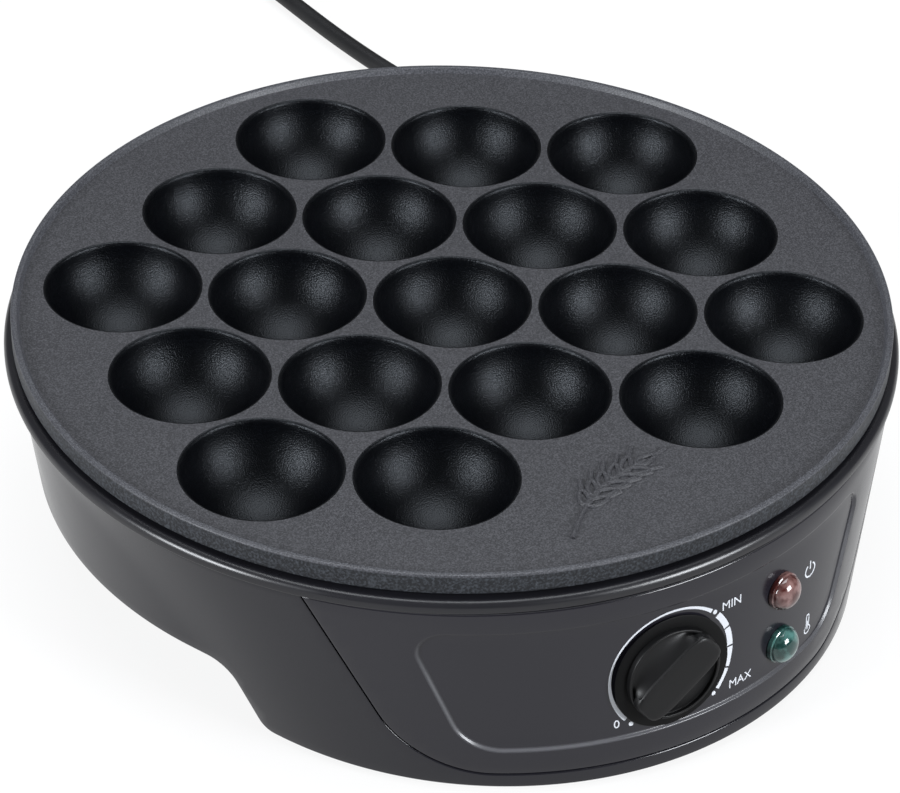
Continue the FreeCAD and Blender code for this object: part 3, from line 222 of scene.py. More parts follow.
def make_bead_tree() -> bpy.types.NodeTree:
    """A tree that lays a flattened raised bead along every edge of a line mesh.

    Returns:
        The tree, with inputs Radius, Flatness, Level and Finish.
    """
    sizes = dict.fromkeys(("Radius", "Flatness", "Level"), "Float")
    inputs = {"Geometry": "Geometry", **sizes, "Finish": "Material"}
    tree = new_tree("raised_bead", "GeometryNodeTree", inputs, {"Geometry": "Geometry"})
    start, end = tree.nodes["in"], tree.nodes["out"]
    kinds = ("MeshToCurve", "Transform", "RealizeInstances", "SetMaterial")
    line, flatten, real, dress = (tree.nodes.new(f"GeometryNode{kind}") for kind in kinds)
    ring = add_node(tree, "GeometryNodeCurvePrimitiveCircle", {"Resolution": 8})
    sweep = add_node(tree, "GeometryNodeCurveToMesh", {"Fill Caps": True})
    scale = add_node(tree, "ShaderNodeCombineXYZ", {"X": 1.0, "Y": 1.0})
    lift = add_node(tree, "ShaderNodeCombineXYZ")
    wire(tree, (start, "Geometry", line, "Mesh"), (start, "Radius", ring, "Radius"),
         (line, "Curve", sweep, "Curve"), (ring, "Curve", sweep, "Profile Curve"),
         (sweep, "Mesh", flatten, "Geometry"), (start, "Flatness", scale, "Z"),
         (scale, "Vector", flatten, "Scale"), (start, "Level", lift, "Z"),
         (lift, "Vector", flatten, "Translation"), (flatten, "Geometry", real, "Geometry"),
         (real, "Geometry", dress, "Geometry"), (start, "Finish", dress, "Material"),
         (dress, "Geometry", end, "Geometry"))
    return tree


COPIES = make_copies_tree()
BEAD = make_bead_tree()


# Finishes

@dataclass(frozen=True)
class Finish:
    """One surface finish: two tones mixed by a pattern, an uneven gloss and a fine relief."""

    name: str
    dark: Colour
    light: Colour
    rough: Point2 = (0.3, 0.4)
    pattern: Pattern = Pattern.GRAIN
    scale: float = 600.0
    edges: Point2 = (0.3, 0.7)
    relief: float = 0.02
    metallic: float = 0.0
    specular: float = 0.5
    coat: float = 0.0
    transmission: float = 0.0
    # How strongly the finish lights itself: painted light that no lamp gives.
    glow: float = 0.0
    tint: Colour = (1.0, 1.0, 1.0)
    # Where a mesh marks an edge, the gloss turns rougher and the colour turns to a lighter tone that is a
    # painted highlight.
    highlight_edge_value: float = 0.0
    painted_highlight_tone: Colour = (0.0, 0.0, 0.0)
    relief_depth: float = 0.3 * MM
    gloss_span: Point2 = (0.3, 0.7)

    def material(self) -> bpy.types.Material:
        """Makes the finish's material, once.

        Returns:
            The material.
        """
        label = f"look_{self.name}"
        known = bpy.data.materials.get(label)
        if known is not None:
            return known
        material = bpy.data.materials.new(label)
        material.use_nodes = True
        tree = material.node_tree
        shader = set_inputs(tree.nodes["Principled BSDF"], {
            "Specular Tint": (*self.tint, 1.0), "Specular IOR Level": self.specular,
            "Metallic": self.metallic, "Coat Weight": self.coat,
            "Transmission Weight": self.transmission, "Emission Strength": self.glow})
        spread = dict(zip(("Scale", "Low", "High"), (self.scale, *self.edges)))
        effect = add_node(tree, "ShaderNodeGroup", spread, node_tree=GROUPS[self.pattern])
        tones = {"A": (*self.dark, 1.0), "B": (*self.light, 1.0)}
        tone = add_node(tree, "ShaderNodeMix", tones, data_type="RGBA")
        ranges = dict(zip(("From Min", "From Max", "To Min", "To Max"), (*self.gloss_span, *self.rough)))
        gloss = add_node(tree, "ShaderNodeMapRange", ranges)
        bump = add_node(tree, "ShaderNodeBump", {"Strength": self.relief, "Distance": self.relief_depth})
        # The tones also feed the emission at the glow's strength, a painted glow on finishes whose glow is
        # above 0.
        wire(tree, (effect, "Mask", tone, "Factor"), (effect, "Uneven", gloss, "Value"),
             (effect, "Height", bump, "Height"), (bump, "Normal", shader, "Normal"),
             (tone, "Result", shader, "Emission Color"))
        wire(tree, (self.highlight_edge(tree, tone, "RGBA", (*self.painted_highlight_tone, 1.0)), "Result", shader, "Base Color"),
             (self.highlight_edge(tree, gloss, "FLOAT", self.highlight_edge_value), "Result", shader, "Roughness"))
        return material

    def highlight_edge(self, tree: bpy.types.NodeTree, even: bpy.types.Node, kind: str,
               highlight_edge_value: float | Sequence[float]) -> bpy.types.Node:
        """Mixes in another value where the mesh's edge attribute marks the inset's edge: a painted highlight
        in the base colour, a rougher gloss in the roughness.

        Args:
            tree: the material's tree.
            even: the node that gives the value of the even surface.
            kind: the kind of value, as the mix node names it.
            highlight_edge_value: the value on the marked edge, either the painted highlight's tone or the
                rougher gloss.

        Returns:
            The node whose result is used.
        """
        if not self.highlight_edge_value:
            return even
        marks = add_node(tree, "ShaderNodeAttribute", attribute_name=EDGE_HIGHLIGHT)
        mixed = add_node(tree, "ShaderNodeMix", {"B": highlight_edge_value}, data_type=kind)
        wire(tree, (marks, "Fac", mixed, "Factor"), (even, "Result", mixed, "A"))
        return mixed


PLATE_FACE = Finish("plate_face_coat", (0.0238, 0.0240, 0.0270), (0.0650, 0.0652, 0.0720), (0.45, 0.55),
                    Pattern.SPECKLE, 2400.0, (0.40, 0.74), relief=0.22, specular=0.3)
# The cups have the face's coating, drawn far darker: painted shade in the hollows; the gloss is also
# smoother.
CUP_SHADED_COAT = Finish("cup_coat", (0.0004, 0.0005, 0.0009), (0.0034, 0.0040, 0.0056), (0.30, 0.35),
                  Pattern.SPECKLE, 2900.0, (0.50, 0.74), relief=0.42, specular=0.20, tint=(0.87, 0.93, 1.0))
PLATE_SIDE = Finish("plate_side_coat", (0.0080, 0.0090, 0.0115), (0.0520, 0.0580, 0.0680), (0.40, 0.6),
                    Pattern.SPECKLE, 1500.0, (0.42, 0.78), relief=0.45, specular=0.35)
# The lip has the face's coating, drawn lighter: a painted highlight on the rounded lip.
PLATE_LIP_LIT = Finish("plate_lip_coat", (0.0290, 0.0298, 0.0345), (0.0860, 0.0880, 0.0990), (0.42, 0.54),
                   Pattern.SPECKLE, 2400.0, (0.40, 0.75), relief=0.25, specular=0.4)
HOUSING_GLOSS = Finish("housing_gloss", (0.0088, 0.0085, 0.0120), (0.0108, 0.0105, 0.0142), (0.12, 0.20),
                       relief=0.004)
# The panel's lighter tone where the inset's edge is marked is a painted highlight; the gloss there is rougher
# too.
PANEL_GLOSS = Finish("panel_gloss", (0.0112, 0.0106, 0.0150), (0.0134, 0.0128, 0.0174), (0.12, 0.19),
                     relief=0.004, highlight_edge_value=0.30, painted_highlight_tone=(0.085, 0.085, 0.092))
TRIM_GLOSS = Finish("ring_gloss", (0.0080, 0.0079, 0.0100), (0.0100, 0.0099, 0.0125), (0.24, 0.34),
                    relief=0.005)
KNOB_GLOSS = Finish("knob_gloss", (0.0026, 0.0026, 0.0029), (0.0040, 0.0040, 0.0044), (0.38, 0.46),
                    relief=0.03, specular=0.26)
# A near-black finish for the flat ring round the dial: painted shade of the recess there.
PAINTED_SHADE_RING = Finish("skirt_black", (0.0010, 0.0010, 0.0011), (0.0016, 0.0016, 0.0018), (0.50, 0.60),
                     relief=0.03, specular=0.12)
BASE_MATTE = Finish("base_matte", (0.012, 0.012, 0.013), (0.020, 0.020, 0.021), (0.45, 0.6), relief=0.15)
INNER_PLASTIC = Finish("inner_plastic", (0.010, 0.010, 0.010), (0.016, 0.016, 0.016), (0.4, 0.55), relief=0.1)
FOOT_RUBBER = Finish("foot_rubber", (0.010, 0.010, 0.010), (0.018, 0.018, 0.018), (0.7, 0.85), relief=0.2)
CORD_RUBBER = Finish("cord_rubber", (0.0052, 0.0052, 0.0058), (0.0080, 0.0080, 0.0088), (0.42, 0.55),
                     relief=0.10, specular=0.35)
TIE_PLASTIC = Finish("tie_plastic", (0.006, 0.006, 0.006), (0.011, 0.011, 0.011), (0.3, 0.4))
# The print glows a little: painted light that keeps it bright where the knob shades the panel.
PRINT_WHITE = Finish("print_white", (0.64, 0.66, 0.70), (0.72, 0.74, 0.78), (0.4, 0.5), glow=0.06)
LENS_RED = Finish("lens_red", (0.060, 0.013, 0.011), (0.230, 0.130, 0.120), (0.08, 0.16), scale=9000.0,
                  edges=(0.42, 0.62), coat=0.6)
LENS_GREEN = Finish("lens_green", (0.005, 0.038, 0.033), (0.080, 0.200, 0.180), (0.08, 0.16), scale=9000.0,
                    edges=(0.42, 0.62), coat=0.6)
STEEL = Finish("plain_steel", (0.42, 0.42, 0.43), (0.56, 0.56, 0.57), (0.24, 0.4), metallic=1.0)
SHEET_METAL = Finish("bright_sheet", (0.60, 0.60, 0.61), (0.70, 0.70, 0.71), (0.22, 0.36), metallic=1.0)
BRASS = Finish("plain_brass", (0.52, 0.38, 0.16), (0.64, 0.49, 0.24), (0.22, 0.36), metallic=1.0)
COPPER = Finish("bare_copper", (0.50, 0.24, 0.13), (0.62, 0.34, 0.20), (0.25, 0.4), metallic=1.0)
CERAMIC = Finish("glazed_ceramic", (0.66, 0.64, 0.58), (0.76, 0.74, 0.69), (0.15, 0.25))
LAMP_GLASS = Finish("lamp_glass", (0.80, 0.82, 0.82), (0.88, 0.90, 0.90), (0.03, 0.08), transmission=0.85)
LEAD_BROWN = Finish("lead_brown", (0.16, 0.060, 0.022), (0.22, 0.09, 0.035), (0.45, 0.6))
LEAD_BLUE = Finish("lead_blue", (0.015, 0.07, 0.30), (0.03, 0.11, 0.40), (0.45, 0.6))

SLOT_FINISHES = {
    "plate_coating": PLATE_SIDE, "steel": STEEL, "sheet_metal": SHEET_METAL, "ceramic": CERAMIC,
    "brass": BRASS, "copper_tone": COPPER, "housing": HOUSING_GLOSS, "housing_trim": TRIM_GLOSS,
    "panel": PANEL_GLOSS, "base_plastic": BASE_MATTE, "inner_plastic": INNER_PLASTIC,
    "foot_rubber": FOOT_RUBBER, "knob": KNOB_GLOSS,
    "lens_red": LENS_RED, "lens_green": LENS_GREEN, "lamp_glass": LAMP_GLASS, "cord_rubber": CORD_RUBBER,
    "tie_plastic": TIE_PLASTIC, "lead_brown": LEAD_BROWN, "lead_blue": LEAD_BLUE,
}


# Pieces and meshes

def in_scene(name: str, data: bpy.types.ID) -> bpy.types.Object:
    """Puts an object into the scene, at the origin.

    Args:
        name: the object's name.
        data: what it is made of.

    Returns:
        The object.
    """
    item = bpy.data.objects.new(name, data)
    bpy.context.scene.collection.objects.link(item)
    return item


def settle(item: bpy.types.Object, slot: str, *nodes: str, body: str = HOUSING) -> bpy.types.Object:
    """Ties a finished piece to its body and hides the frame nodes it stands for.

    Args:
        item: the piece.
        slot: the record's material slot; not used.
        nodes: frame nodes that it replaces.
        body: the body that it moves with.

    Returns:
        The piece.
    """
    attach(item, body)
    if nodes:
        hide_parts(*nodes)
    LOG.info("%s: %d points on %s", item.name, len(getattr(item.data, "vertices", ())), body)
    return item


def finished(name: str, mesh: bpy.types.Mesh, finish: Finish, slot: str, *nodes: str, crease: float = CREASE,
             body: str = HOUSING) -> bpy.types.Object:
    """Makes a smooth-shaded piece of a mesh.

    Args:
        name: the piece's name.
        mesh: the mesh, with its place in its points.
        finish: the surface finish.
        slot: the record's material slot.
        nodes: frame nodes that it replaces.
        crease: edges that turn by more degrees than this stay sharp.
        body: the body that it moves with.

    Returns:
        The piece.
    """
    mesh.materials.clear()
    mesh.materials.append(finish.material())
    mesh.shade_smooth()
    mesh.set_sharp_from_angle(angle=math.radians(crease))
    return settle(in_scene(name, mesh), slot, *nodes, body=body)


def raw_mesh(name: str, points: Iterable[Sequence[float]], faces: Iterable[Sequence[int]] = (),
             edges: Iterable[Sequence[int]] = ()) -> bpy.types.Mesh:
    """A mesh of points, faces and loose edges.

    Args:
        name: the mesh's name.
        points: its points, in metres.
        faces: point numbers of its faces.
        edges: point numbers of its loose edges.

    Returns:
        The mesh.
    """
    mesh = bpy.data.meshes.new(name)
    mesh.from_pydata([tuple(point) for point in points], list(edges), [tuple(face) for face in faces])
    return mesh


def work_mesh(name: str, work: bmesh.types.BMesh) -> bpy.types.Mesh:
    """Turns what was worked on into a mesh and frees it.

    Args:
        name: the mesh's name.
        work: the work.

    Returns:
        The mesh.
    """
    mesh = bpy.data.meshes.new(name)
    work.to_mesh(mesh)
    work.free()
    return mesh


def joined(name: str, parts: Iterable[bpy.types.Mesh]) -> bpy.types.Mesh:
    """Joins several parts.

    Args:
        name: the new mesh's name.
        parts: the parts.

    Returns:
        The parts as one mesh.
    """
    work = bmesh.new()
    for part in parts:
        work.from_mesh(part)
    return work_mesh(name, work)


def weld(mesh: bpy.types.Mesh, distance: float = 1e-6, outward: bool = True) -> bpy.types.Mesh:
    """Merges points that coincide.

    Args:
        mesh: the mesh.
        distance: points nearer than this become one.
        outward: whether all faces are then turned outwards.

    Returns:
        The same mesh.
    """
    work = bmesh.new()
    work.from_mesh(mesh)
    bmesh.ops.remove_doubles(work, verts=work.verts, dist=distance)
    if outward:
        bmesh.ops.recalc_face_normals(work, faces=work.faces)
    work.to_mesh(mesh)
    work.free()
    return mesh


def bake(item: bpy.types.Object) -> bpy.types.Mesh:
    """Turns an object with modifiers into a plain mesh and removes the object.

    Args:
        item: the object.

    Returns:
        The mesh.
    """
    graph = bpy.context.evaluated_depsgraph_get()
    mesh = bpy.data.meshes.new_from_object(item.evaluated_get(graph))
    bpy.data.objects.remove(item)
    return mesh


def walled(mesh: bpy.types.Mesh, thickness: float) -> bpy.types.Mesh:
    """Gives a sheet its thickness, under its outside.

    Args:
        mesh: the sheet.
        thickness: the thickness.

    Returns:
        The mesh.
    """
    item = in_scene(f"{mesh.name}_sheet", mesh)
    wall = item.modifiers.new("wall", "SOLIDIFY")
    wall.thickness = thickness
    wall.offset = -1.0
    return bake(item)


def grown(name: str, base: bpy.types.Mesh, tree: bpy.types.NodeTree,
          values: dict[str, object]) -> bpy.types.Mesh:
    """Runs a geometry tree on a mesh.

    Args:
        name: the new mesh's name.
        base: the mesh that the tree starts from.
        tree: the geometry tree.
        values: the tree's inputs by name.

    Returns:
        The result as a plain mesh.
    """
    item = in_scene(name, base)
    modifier = item.modifiers.new(name, "NODES")
    modifier.node_group = tree
    for socket in tree.interface.items_tree:
        if socket.in_out == "INPUT" and socket.name in values:
            modifier[socket.identifier] = values[socket.name]
    return bake(item)


def copies(name: str, piece: bpy.types.Mesh, places: Sequence[Vector], finish: Finish) -> bpy.types.Mesh:
    """Copies of one small mesh at several places.

    Args:
        name: the new mesh's name.
        piece: the small mesh, about the origin.
        places: where the copies go.
        finish: their finish.

    Returns:
        The copies as one plain mesh.
    """
    pattern = in_scene(f"{name}_pattern", piece)
    spots = raw_mesh(f"{name}_places", places)
    mesh = grown(name, spots, COPIES, {"Piece": pattern, "Finish": finish.material()})
    bpy.data.objects.remove(pattern)
    return mesh


def turned(name: str, profile: Sequence[Point2], segments: int, closed: bool = False,
           place: Matrix = Matrix.Identity(4)) -> bpy.types.Mesh:
    """A welded mesh, turned from a profile about the Z axis and set at a place.

    Args:
        name: the mesh's name.
        profile: (radius, height) points, from the lowest outside round to the top inside.
        segments: points round the circle.
        closed: whether the profile's last point joins its first, as on a ring.
        place: where the mesh goes.

    Returns:
        The mesh.
    """
    points, faces = [], []
    rows = len(profile)
    for index in range(segments):
        turn = FULL_TURN * index / segments
        here, there = index * rows, (index + 1) % segments * rows
        for row, (radius, height) in enumerate(profile):
            points.append(place @ Vector((radius * math.cos(turn), radius * math.sin(turn), height)))
            upper = (row + 1) % rows
            if closed or upper:
                faces.append((here + row, there + row, there + upper, here + upper))
    return weld(raw_mesh(name, points, faces))


def oval(long: float, wide: float, power: float, count: int) -> list[Point2]:
    """Points of an outline between an ellipse, at power 2, and a rectangle.

    Args:
        long: half its length along X.
        wide: half its width along Y.
        power: how square it is.
        count: how many points.

    Returns:
        The points, anticlockwise.
    """
    run = []
    for index in range(count):
        turn = FULL_TURN * index / count
        x, y = (math.copysign(abs(part) ** (2 / power), part) for part in (math.cos(turn), math.sin(turn)))
        run.append((x * long, y * wide))
    return run


def lofted(name: str, rings: Sequence[Sequence[Vector]]) -> bpy.types.Mesh:
    """A closed mesh through rings that have as many points each.

    Args:
        name: the mesh's name.
        rings: the rings, from one end to the other.

    Returns:
        The mesh.
    """
    count = len(rings[0])
    last = (len(rings) - 1) * count
    faces = []
    for row in range(0, last, count):
        for index in range(count):
            after = (index + 1) % count
            faces.append((row + index, row + after, row + count + after, row + count + index))
    faces += [range(count - 1, -1, -1), range(last, last + count)]
    return raw_mesh(name, [point for ring in rings for point in ring], faces)


def fillet_run(corners: Sequence[Point2], radii: Sequence[float], closed: bool,
               steps: int = 8) -> list[Point2]:
    """An outline of straight runs with its corners rounded by arcs.

    Args:
        corners: the outline's corners.
        radii: one radius for each corner, 0 for a sharp one.
        closed: whether the last corner joins the first.
        steps: parts of each arc.

    Returns:
        The outline's points.
    """
    result: list[Point2] = []
    count = len(corners)
    for index, radius in enumerate(radii):
        corner = Vector(corners[index])
        if radius <= 0 or (not closed and index in (0, count - 1)):
            result.append(tuple(corner))
            continue
        before = (Vector(corners[index - 1]) - corner).normalized()
        after = (Vector(corners[(index + 1) % count]) - corner).normalized()
        half = before.angle(after) / 2
        centre = corner + (before + after).normalized() * (radius / math.sin(half))
        start = corner + before * (radius / math.tan(half)) - centre
        sweep = start.angle_signed(corner + after * (radius / math.tan(half)) - centre)
        for step in range(steps + 1):
            turn = -sweep * step / steps
            spun = Vector((start.x * math.cos(turn) - start.y * math.sin(turn),
                           start.x * math.sin(turn) + start.y * math.cos(turn)))
            result.append(tuple(centre + spun))
    return result


def arc(centre: Point2, radius: float, start: float, end: float, steps: int) -> list[Point2]:
    """Points of an arc.

    Args:
        centre: its centre.
        radius: its radius.
        start: where it starts, in degrees anticlockwise from the right.
        end: where it ends.
        steps: its parts.

    Returns:
        The points.
    """
    run = []
    for step in range(steps + 1):
        turn = math.radians(start + (end - start) * step / steps)
        run.append((centre[0] + radius * math.cos(turn), centre[1] + radius * math.sin(turn)))
    return run


def evenly(points: Sequence[Point2], spacing: float) -> list[Point2]:
    """A closed outline with points added so that none are further apart than the spacing.

    Args:
        points: the outline.
        spacing: the widest step.

    Returns:
        The finer outline.
    """
    fine: list[Point2] = []
    for here, there in zip(points, [*points[1:], points[0]]):
        start, end = Vector(here), Vector(there)
        parts = max(1, math.ceil((end - start).length / spacing))
        fine += [tuple(start.lerp(end, part / parts)) for part in range(parts)]
    return fine


def inside(point: Point2, outline: Sequence[Point2]) -> bool:
    """Whether a point lies inside a closed outline.

    Args:
        point: the point.
        outline: the outline.

    Returns:
        True inside.
    """
    x, y = point
    odd = False
    for (ax, ay), (bx, by) in zip(outline, [*outline[1:], outline[0]]):
        if (ay > y) != (by > y) and x < (bx - ax) * (y - ay) / (by - ay) + ax:
            odd = not odd
    return odd


@dataclass
class Skin:
    """A curved sheet made from flat points, each with a depth under the outside."""

    flat: list[Point2] = field(default_factory=list)
    depths: list[float] = field(default_factory=list)
    wear: list[float] = field(default_factory=list)
    edges: list[tuple[int, int]] = field(default_factory=list)

    def add_points(self, points: Sequence[Point2], depth: float, wear: float = 0.0) -> None:
        """Adds loose points.

        Args:
            points: the points.
            depth: their depth under the outside.
            wear: how strongly the painted highlight and the rougher gloss show there, from 0 to 1.
        """
        self.flat.extend(points)
        self.depths.extend([depth] * len(points))
        self.wear.extend([wear] * len(points))

    def add_loop(self, points: Sequence[Point2], depth: float, closed: bool = True,
                 wear: float = 0.0) -> None:
        """Adds a line of points that the sheet's edges follow.

        Args:
            points: the line.
            depth: its depth under the outside.
            closed: whether the line closes on itself.
            wear: how strongly the painted highlight and the rougher gloss show there, from 0 to 1.
        """
        start = len(self.flat)
        self.add_points(points, depth, wear)
        last = len(self.flat) - 1
        self.edges.extend((index, index + 1) for index in range(start, last))
        if closed:
            self.edges.append((last, start))

    def shape(self, place: Callable[[Point2, float], Vector],
              kept: Callable[[Point2], bool]) -> tuple[list[Vector], list[Sequence[int]], list[float]]:
        """Joins the points into triangles on the curved outside.

        Args:
            place: takes a flat point and a depth to its place.
            kept: whether a triangle with this middle belongs to the sheet.

        Returns:
            Points, faces and the strength of the painted edge highlight at every point.
        """
        flat = [Vector(point) for point in self.flat]
        found, _, faces, origins, _, _ = delaunay_2d_cdt(flat, self.edges, [], 0, 1e-7)
        points, marks = [], []
        for spot, sources in zip(found, origins):
            points.append(place((spot.x, spot.y), self.depths[sources[0]] if sources else 0.0))
            marks.append(self.wear[sources[0]] if sources else 0.0)
        shown = []
        for face in faces:
            middle = sum((found[corner] for corner in face), Vector((0.0, 0.0))) / len(face)
            if kept((middle.x, middle.y)):
                shown.append(face)
        return points, shown, marks


# Sub-assemblies

@dataclass
class Plate:
    """The cast plate: a disc with a lip, eighteen half-round cups and a raised motif at the front."""

    radius: float = 114.7 * MM
    face: float = 64.0 * MM
    lip_height: float = 1.5 * MM
    lip_width: float = 1.6 * MM
    lip_slope: float = 0.7 * MM
    lip_round: float = 0.4 * MM
    edge: float = 4.2 * MM
    edge_round: float = 0.6 * MM
    skirt: float = 3.5 * MM
    skirt_gap: float = 0.05 * MM
    web: float = 3.4 * MM
    cup_dia: float = 40.0 * MM
    cup_gap: float = 3.17 * MM
    cup_depth: float = 18.5 * MM
    cup_wall: float = 1.6 * MM
    cup_round: float = 0.8 * MM
    round_start: float = 0.05
    round_lean: float = 0.1 * MM
    post_dia: float = 9.0 * MM
    post_inset: float = 12.6 * MM
    post_end: float = 44.4 * MM
    cup_segments: int = 80
    disc_segments: int = 288
    crease: float = 32.0
    motif_radius: float = 0.75 * MM
    motif_length: float = 36.0 * MM
    motif_forward: float = 3.0 * MM
    motif_degrees: float = -3.0
    motif_turn: float = 32.0
    motif_flatness: float = 0.95
    stem_bend: float = 0.10
    grain_size: tuple[float, float, float] = (0.17, 0.034, 0.11)
    grain_bend: float = 0.30
    grain_lean: float = 0.62
    grain_pairs: tuple[float, ...] = (0.36, 0.475, 0.59, 0.705, 0.82)
    grain_last: float = 0.93

    def __post_init__(self) -> None:
        """Works out the grid and the axis from the frame."""
        low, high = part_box("rim_ring")
        self.axis = Vector(((low.x + high.x) / 2, (low.y + high.y) / 2, 0.0))
        self.pitch = self.cup_dia + self.cup_gap
        half = self.cup_dia / 2
        self.ball = (half * half + self.cup_depth ** 2) / (2 * self.cup_depth)
        self.ball_centre = self.face + self.ball - self.cup_depth
        self.mouth = half + self.cup_round
        self.under = self.face - self.web
        self.lip_top = self.face + self.lip_height
        self.lip_foot = (self.radius, self.lip_top - self.edge_round)

    def at(self, radius: float, degrees: float) -> Vector:
        """The plan place at an angle from the front, turning towards +X."""
        return self.axis + bearing(degrees) * radius

    def cup_places(self) -> list[Vector]:
        """The middles of the cups, a hexagon of rows without its front corner.

        Returns:
            The places on the table plane.
        """
        places = [self.at(0.0, 0.0)]
        places += [self.at(self.pitch, 60 * k) for k in range(6)]
        places += [self.at(self.pitch * math.sqrt(3), 30 + 60 * k) for k in range(6)]
        places += [self.at(self.pitch * 2, 60 * k) for k in range(1, 6)]
        return places

    def bowl(self, radius: float, start: float, end: float, steps: int) -> list[Point2]:
        """The profile of a ball about the cup's centre.

        Args:
            radius: the ball's radius.
            start: where it starts, in radians from the level.
            end: where it ends.
            steps: its parts.

        Returns:
            (radius, height) points.
        """
        profile = []
        for step in range(steps + 1):
            turn = start + (end - start) * step / steps
            profile.append((max(0.0, radius * math.cos(turn)), self.ball_centre + radius * math.sin(turn)))
        return profile

    def cup_profile(self) -> list[Point2]:
        """A cup's inside from its bottom to its rounded rim.

        Returns:
            (radius, height) points.
        """
        rim_drop = math.asin((self.ball_centre - self.face) / self.ball)
        profile = self.bowl(self.ball, -math.pi / 2, -rim_drop - self.round_start, 26)
        profile[0] = (0.0, profile[0][1])
        start = Vector(profile[-1])
        corner = Vector((self.cup_dia / 2 + self.round_lean, self.face))
        end = Vector((self.mouth, self.face))
        rounds = 6
        for step in range(1, rounds + 1):
            share = step / rounds
            spot = start * (1 - share) ** 2 + corner * (2 * share * (1 - share)) + end * share ** 2
            profile.append((spot.x, spot.y))
        return profile

    def build_cups(self) -> None:
        """The insides of the cups, from one turned cup, in a much darker copy of the face's coating: painted
        shade in the hollows.
        """
        cup = turned("one_cup", self.cup_profile(), self.cup_segments)
        if cup.polygons[0].normal.z < 0:
            cup.flip_normals()
        cups = copies("plate_cups", cup, self.cup_places(), CUP_SHADED_COAT)
        finished("plate_cups", cups, CUP_SHADED_COAT, "plate_coating")

    def holed_face(self, name: str, outer: float, holes: float, height: float, down: bool) -> bpy.types.Mesh:
        """A level disc with a round hole for every cup.

        Args:
            name: the mesh's name.
            outer: the disc's radius.
            holes: the holes' radius.
            height: its height.
            down: whether it faces down.

        Returns:
            The mesh.
        """
        work = bmesh.new()
        circles = [(self.axis, outer, self.disc_segments)]
        circles += [(place, holes, self.cup_segments) for place in self.cup_places()]
        for centre, radius, count in circles:
            ring = oval(radius, radius, 2.0, count)
            corners = [work.verts.new((centre.x + x, centre.y + y, height)) for x, y in ring]
            for index, corner in enumerate(corners):
                work.edges.new((corner, corners[(index + 1) % count]))
        bmesh.ops.triangle_fill(work, use_beauty=True, use_dissolve=False, edges=work.edges[:])
        for face in work.faces:
            face.normal_update()
            if (face.normal.z < 0) != down:
                face.normal_flip()
        return work_mesh(name, work)

    def build_face(self) -> None:
        """The level cooking face between the cups and the lip."""
        inner = self.radius - self.lip_width - self.lip_slope
        mesh = self.holed_face("plate_face", inner, self.mouth, self.face, False)
        finished("plate_face", mesh, PLATE_FACE, "plate_coating")

    def build_lip(self) -> None:
        """The rounded lip round the face, in a lighter copy of the face's coating: a painted highlight."""
        rim, top = self.radius, self.lip_top
        inner = rim - self.lip_width
        profile = fillet_run([self.lip_foot, (rim, top), (inner, top), (inner - self.lip_slope, self.face)],
                             [0, self.edge_round * 0.95, self.lip_round, 0], False, 5)
        mesh = turned("plate_lip", profile, self.disc_segments, False, Matrix.Translation(self.axis))
        finished("plate_lip", mesh, PLATE_LIP_LIT, "plate_coating", crease=self.crease)

    def build_side(self) -> None:
        """The side, the hidden underside, the cups' backs and the posts, which stand for the plate."""
        rim, inner = self.radius, self.radius - self.skirt
        low, under = self.face - self.edge, self.under
        profile = [(inner, under - self.edge), (inner, low - self.skirt_gap)]
        profile += fillet_run([(inner, low), (rim, low), self.lip_foot], [0, self.edge_round, 0], False, 5)
        back = self.ball + self.cup_wall
        start = math.asin((self.ball_centre - under) / back)
        cup_back = turned("cup_back", self.bowl(back, -start, -math.pi / 2, 14), 40)
        post_radius = self.post_dia / 2
        post = turned("post", [(0.0, self.post_end), (post_radius, self.post_end), (post_radius, under)], 24)
        posts = [self.at(rim - self.post_inset, 30 + 60 * k) for k in range(6)]
        parts = (turned("plate_side", profile, self.disc_segments, False, Matrix.Translation(self.axis)),
                 self.holed_face("plate_under", inner, self.cup_dia / 2, under, True),
                 copies("cup_backs", cup_back, self.cup_places(), PLATE_SIDE),
                 copies("plate_posts", post, posts, PLATE_SIDE))
        finished("plate_rim", joined("plate_rim", parts), PLATE_SIDE, "plate_coating", "grill_plate",
                 crease=self.crease)

    def stem(self, share: float) -> Point2:
        """A place along the motif's bent stem, from its foot to its tip."""
        bend = self.stem_bend * (math.sin(math.pi * share) - 0.5)
        return (share - 0.5) * self.motif_length, bend * self.motif_length

    def grain(self, share: float, lean: float) -> list[tuple[list[Point2], bool]]:
        """A grain of the motif, with the awn at its tip.

        Args:
            share: where it grows along the stem.
            lean: its angle to the stem.

        Returns:
            Its lines, each with whether it closes on itself.
        """
        long, wide, awn = (part * self.motif_length for part in self.grain_size)
        foot = self.stem(share)
        turn = math.cos(math.pi * share) * self.grain_bend + lean
        count = 18
        outline = []
        for k in range(count):
            spin = FULL_TURN * k / count
            along = long / 2 * (1 + math.cos(spin))
            aside = wide * math.sin(spin) * (1.25 - 0.5 * along / long)
            outline.append((foot[0] + along * math.cos(turn) - aside * math.sin(turn),
                            foot[1] + along * math.sin(turn) + aside * math.cos(turn)))
        tip = (foot[0] + long * math.cos(turn), foot[1] + long * math.sin(turn))
        end = (tip[0] + awn * math.cos(turn * 0.8), tip[1] + awn * math.sin(turn * 0.8))
        return [(outline, True), ([tip, end], False)]

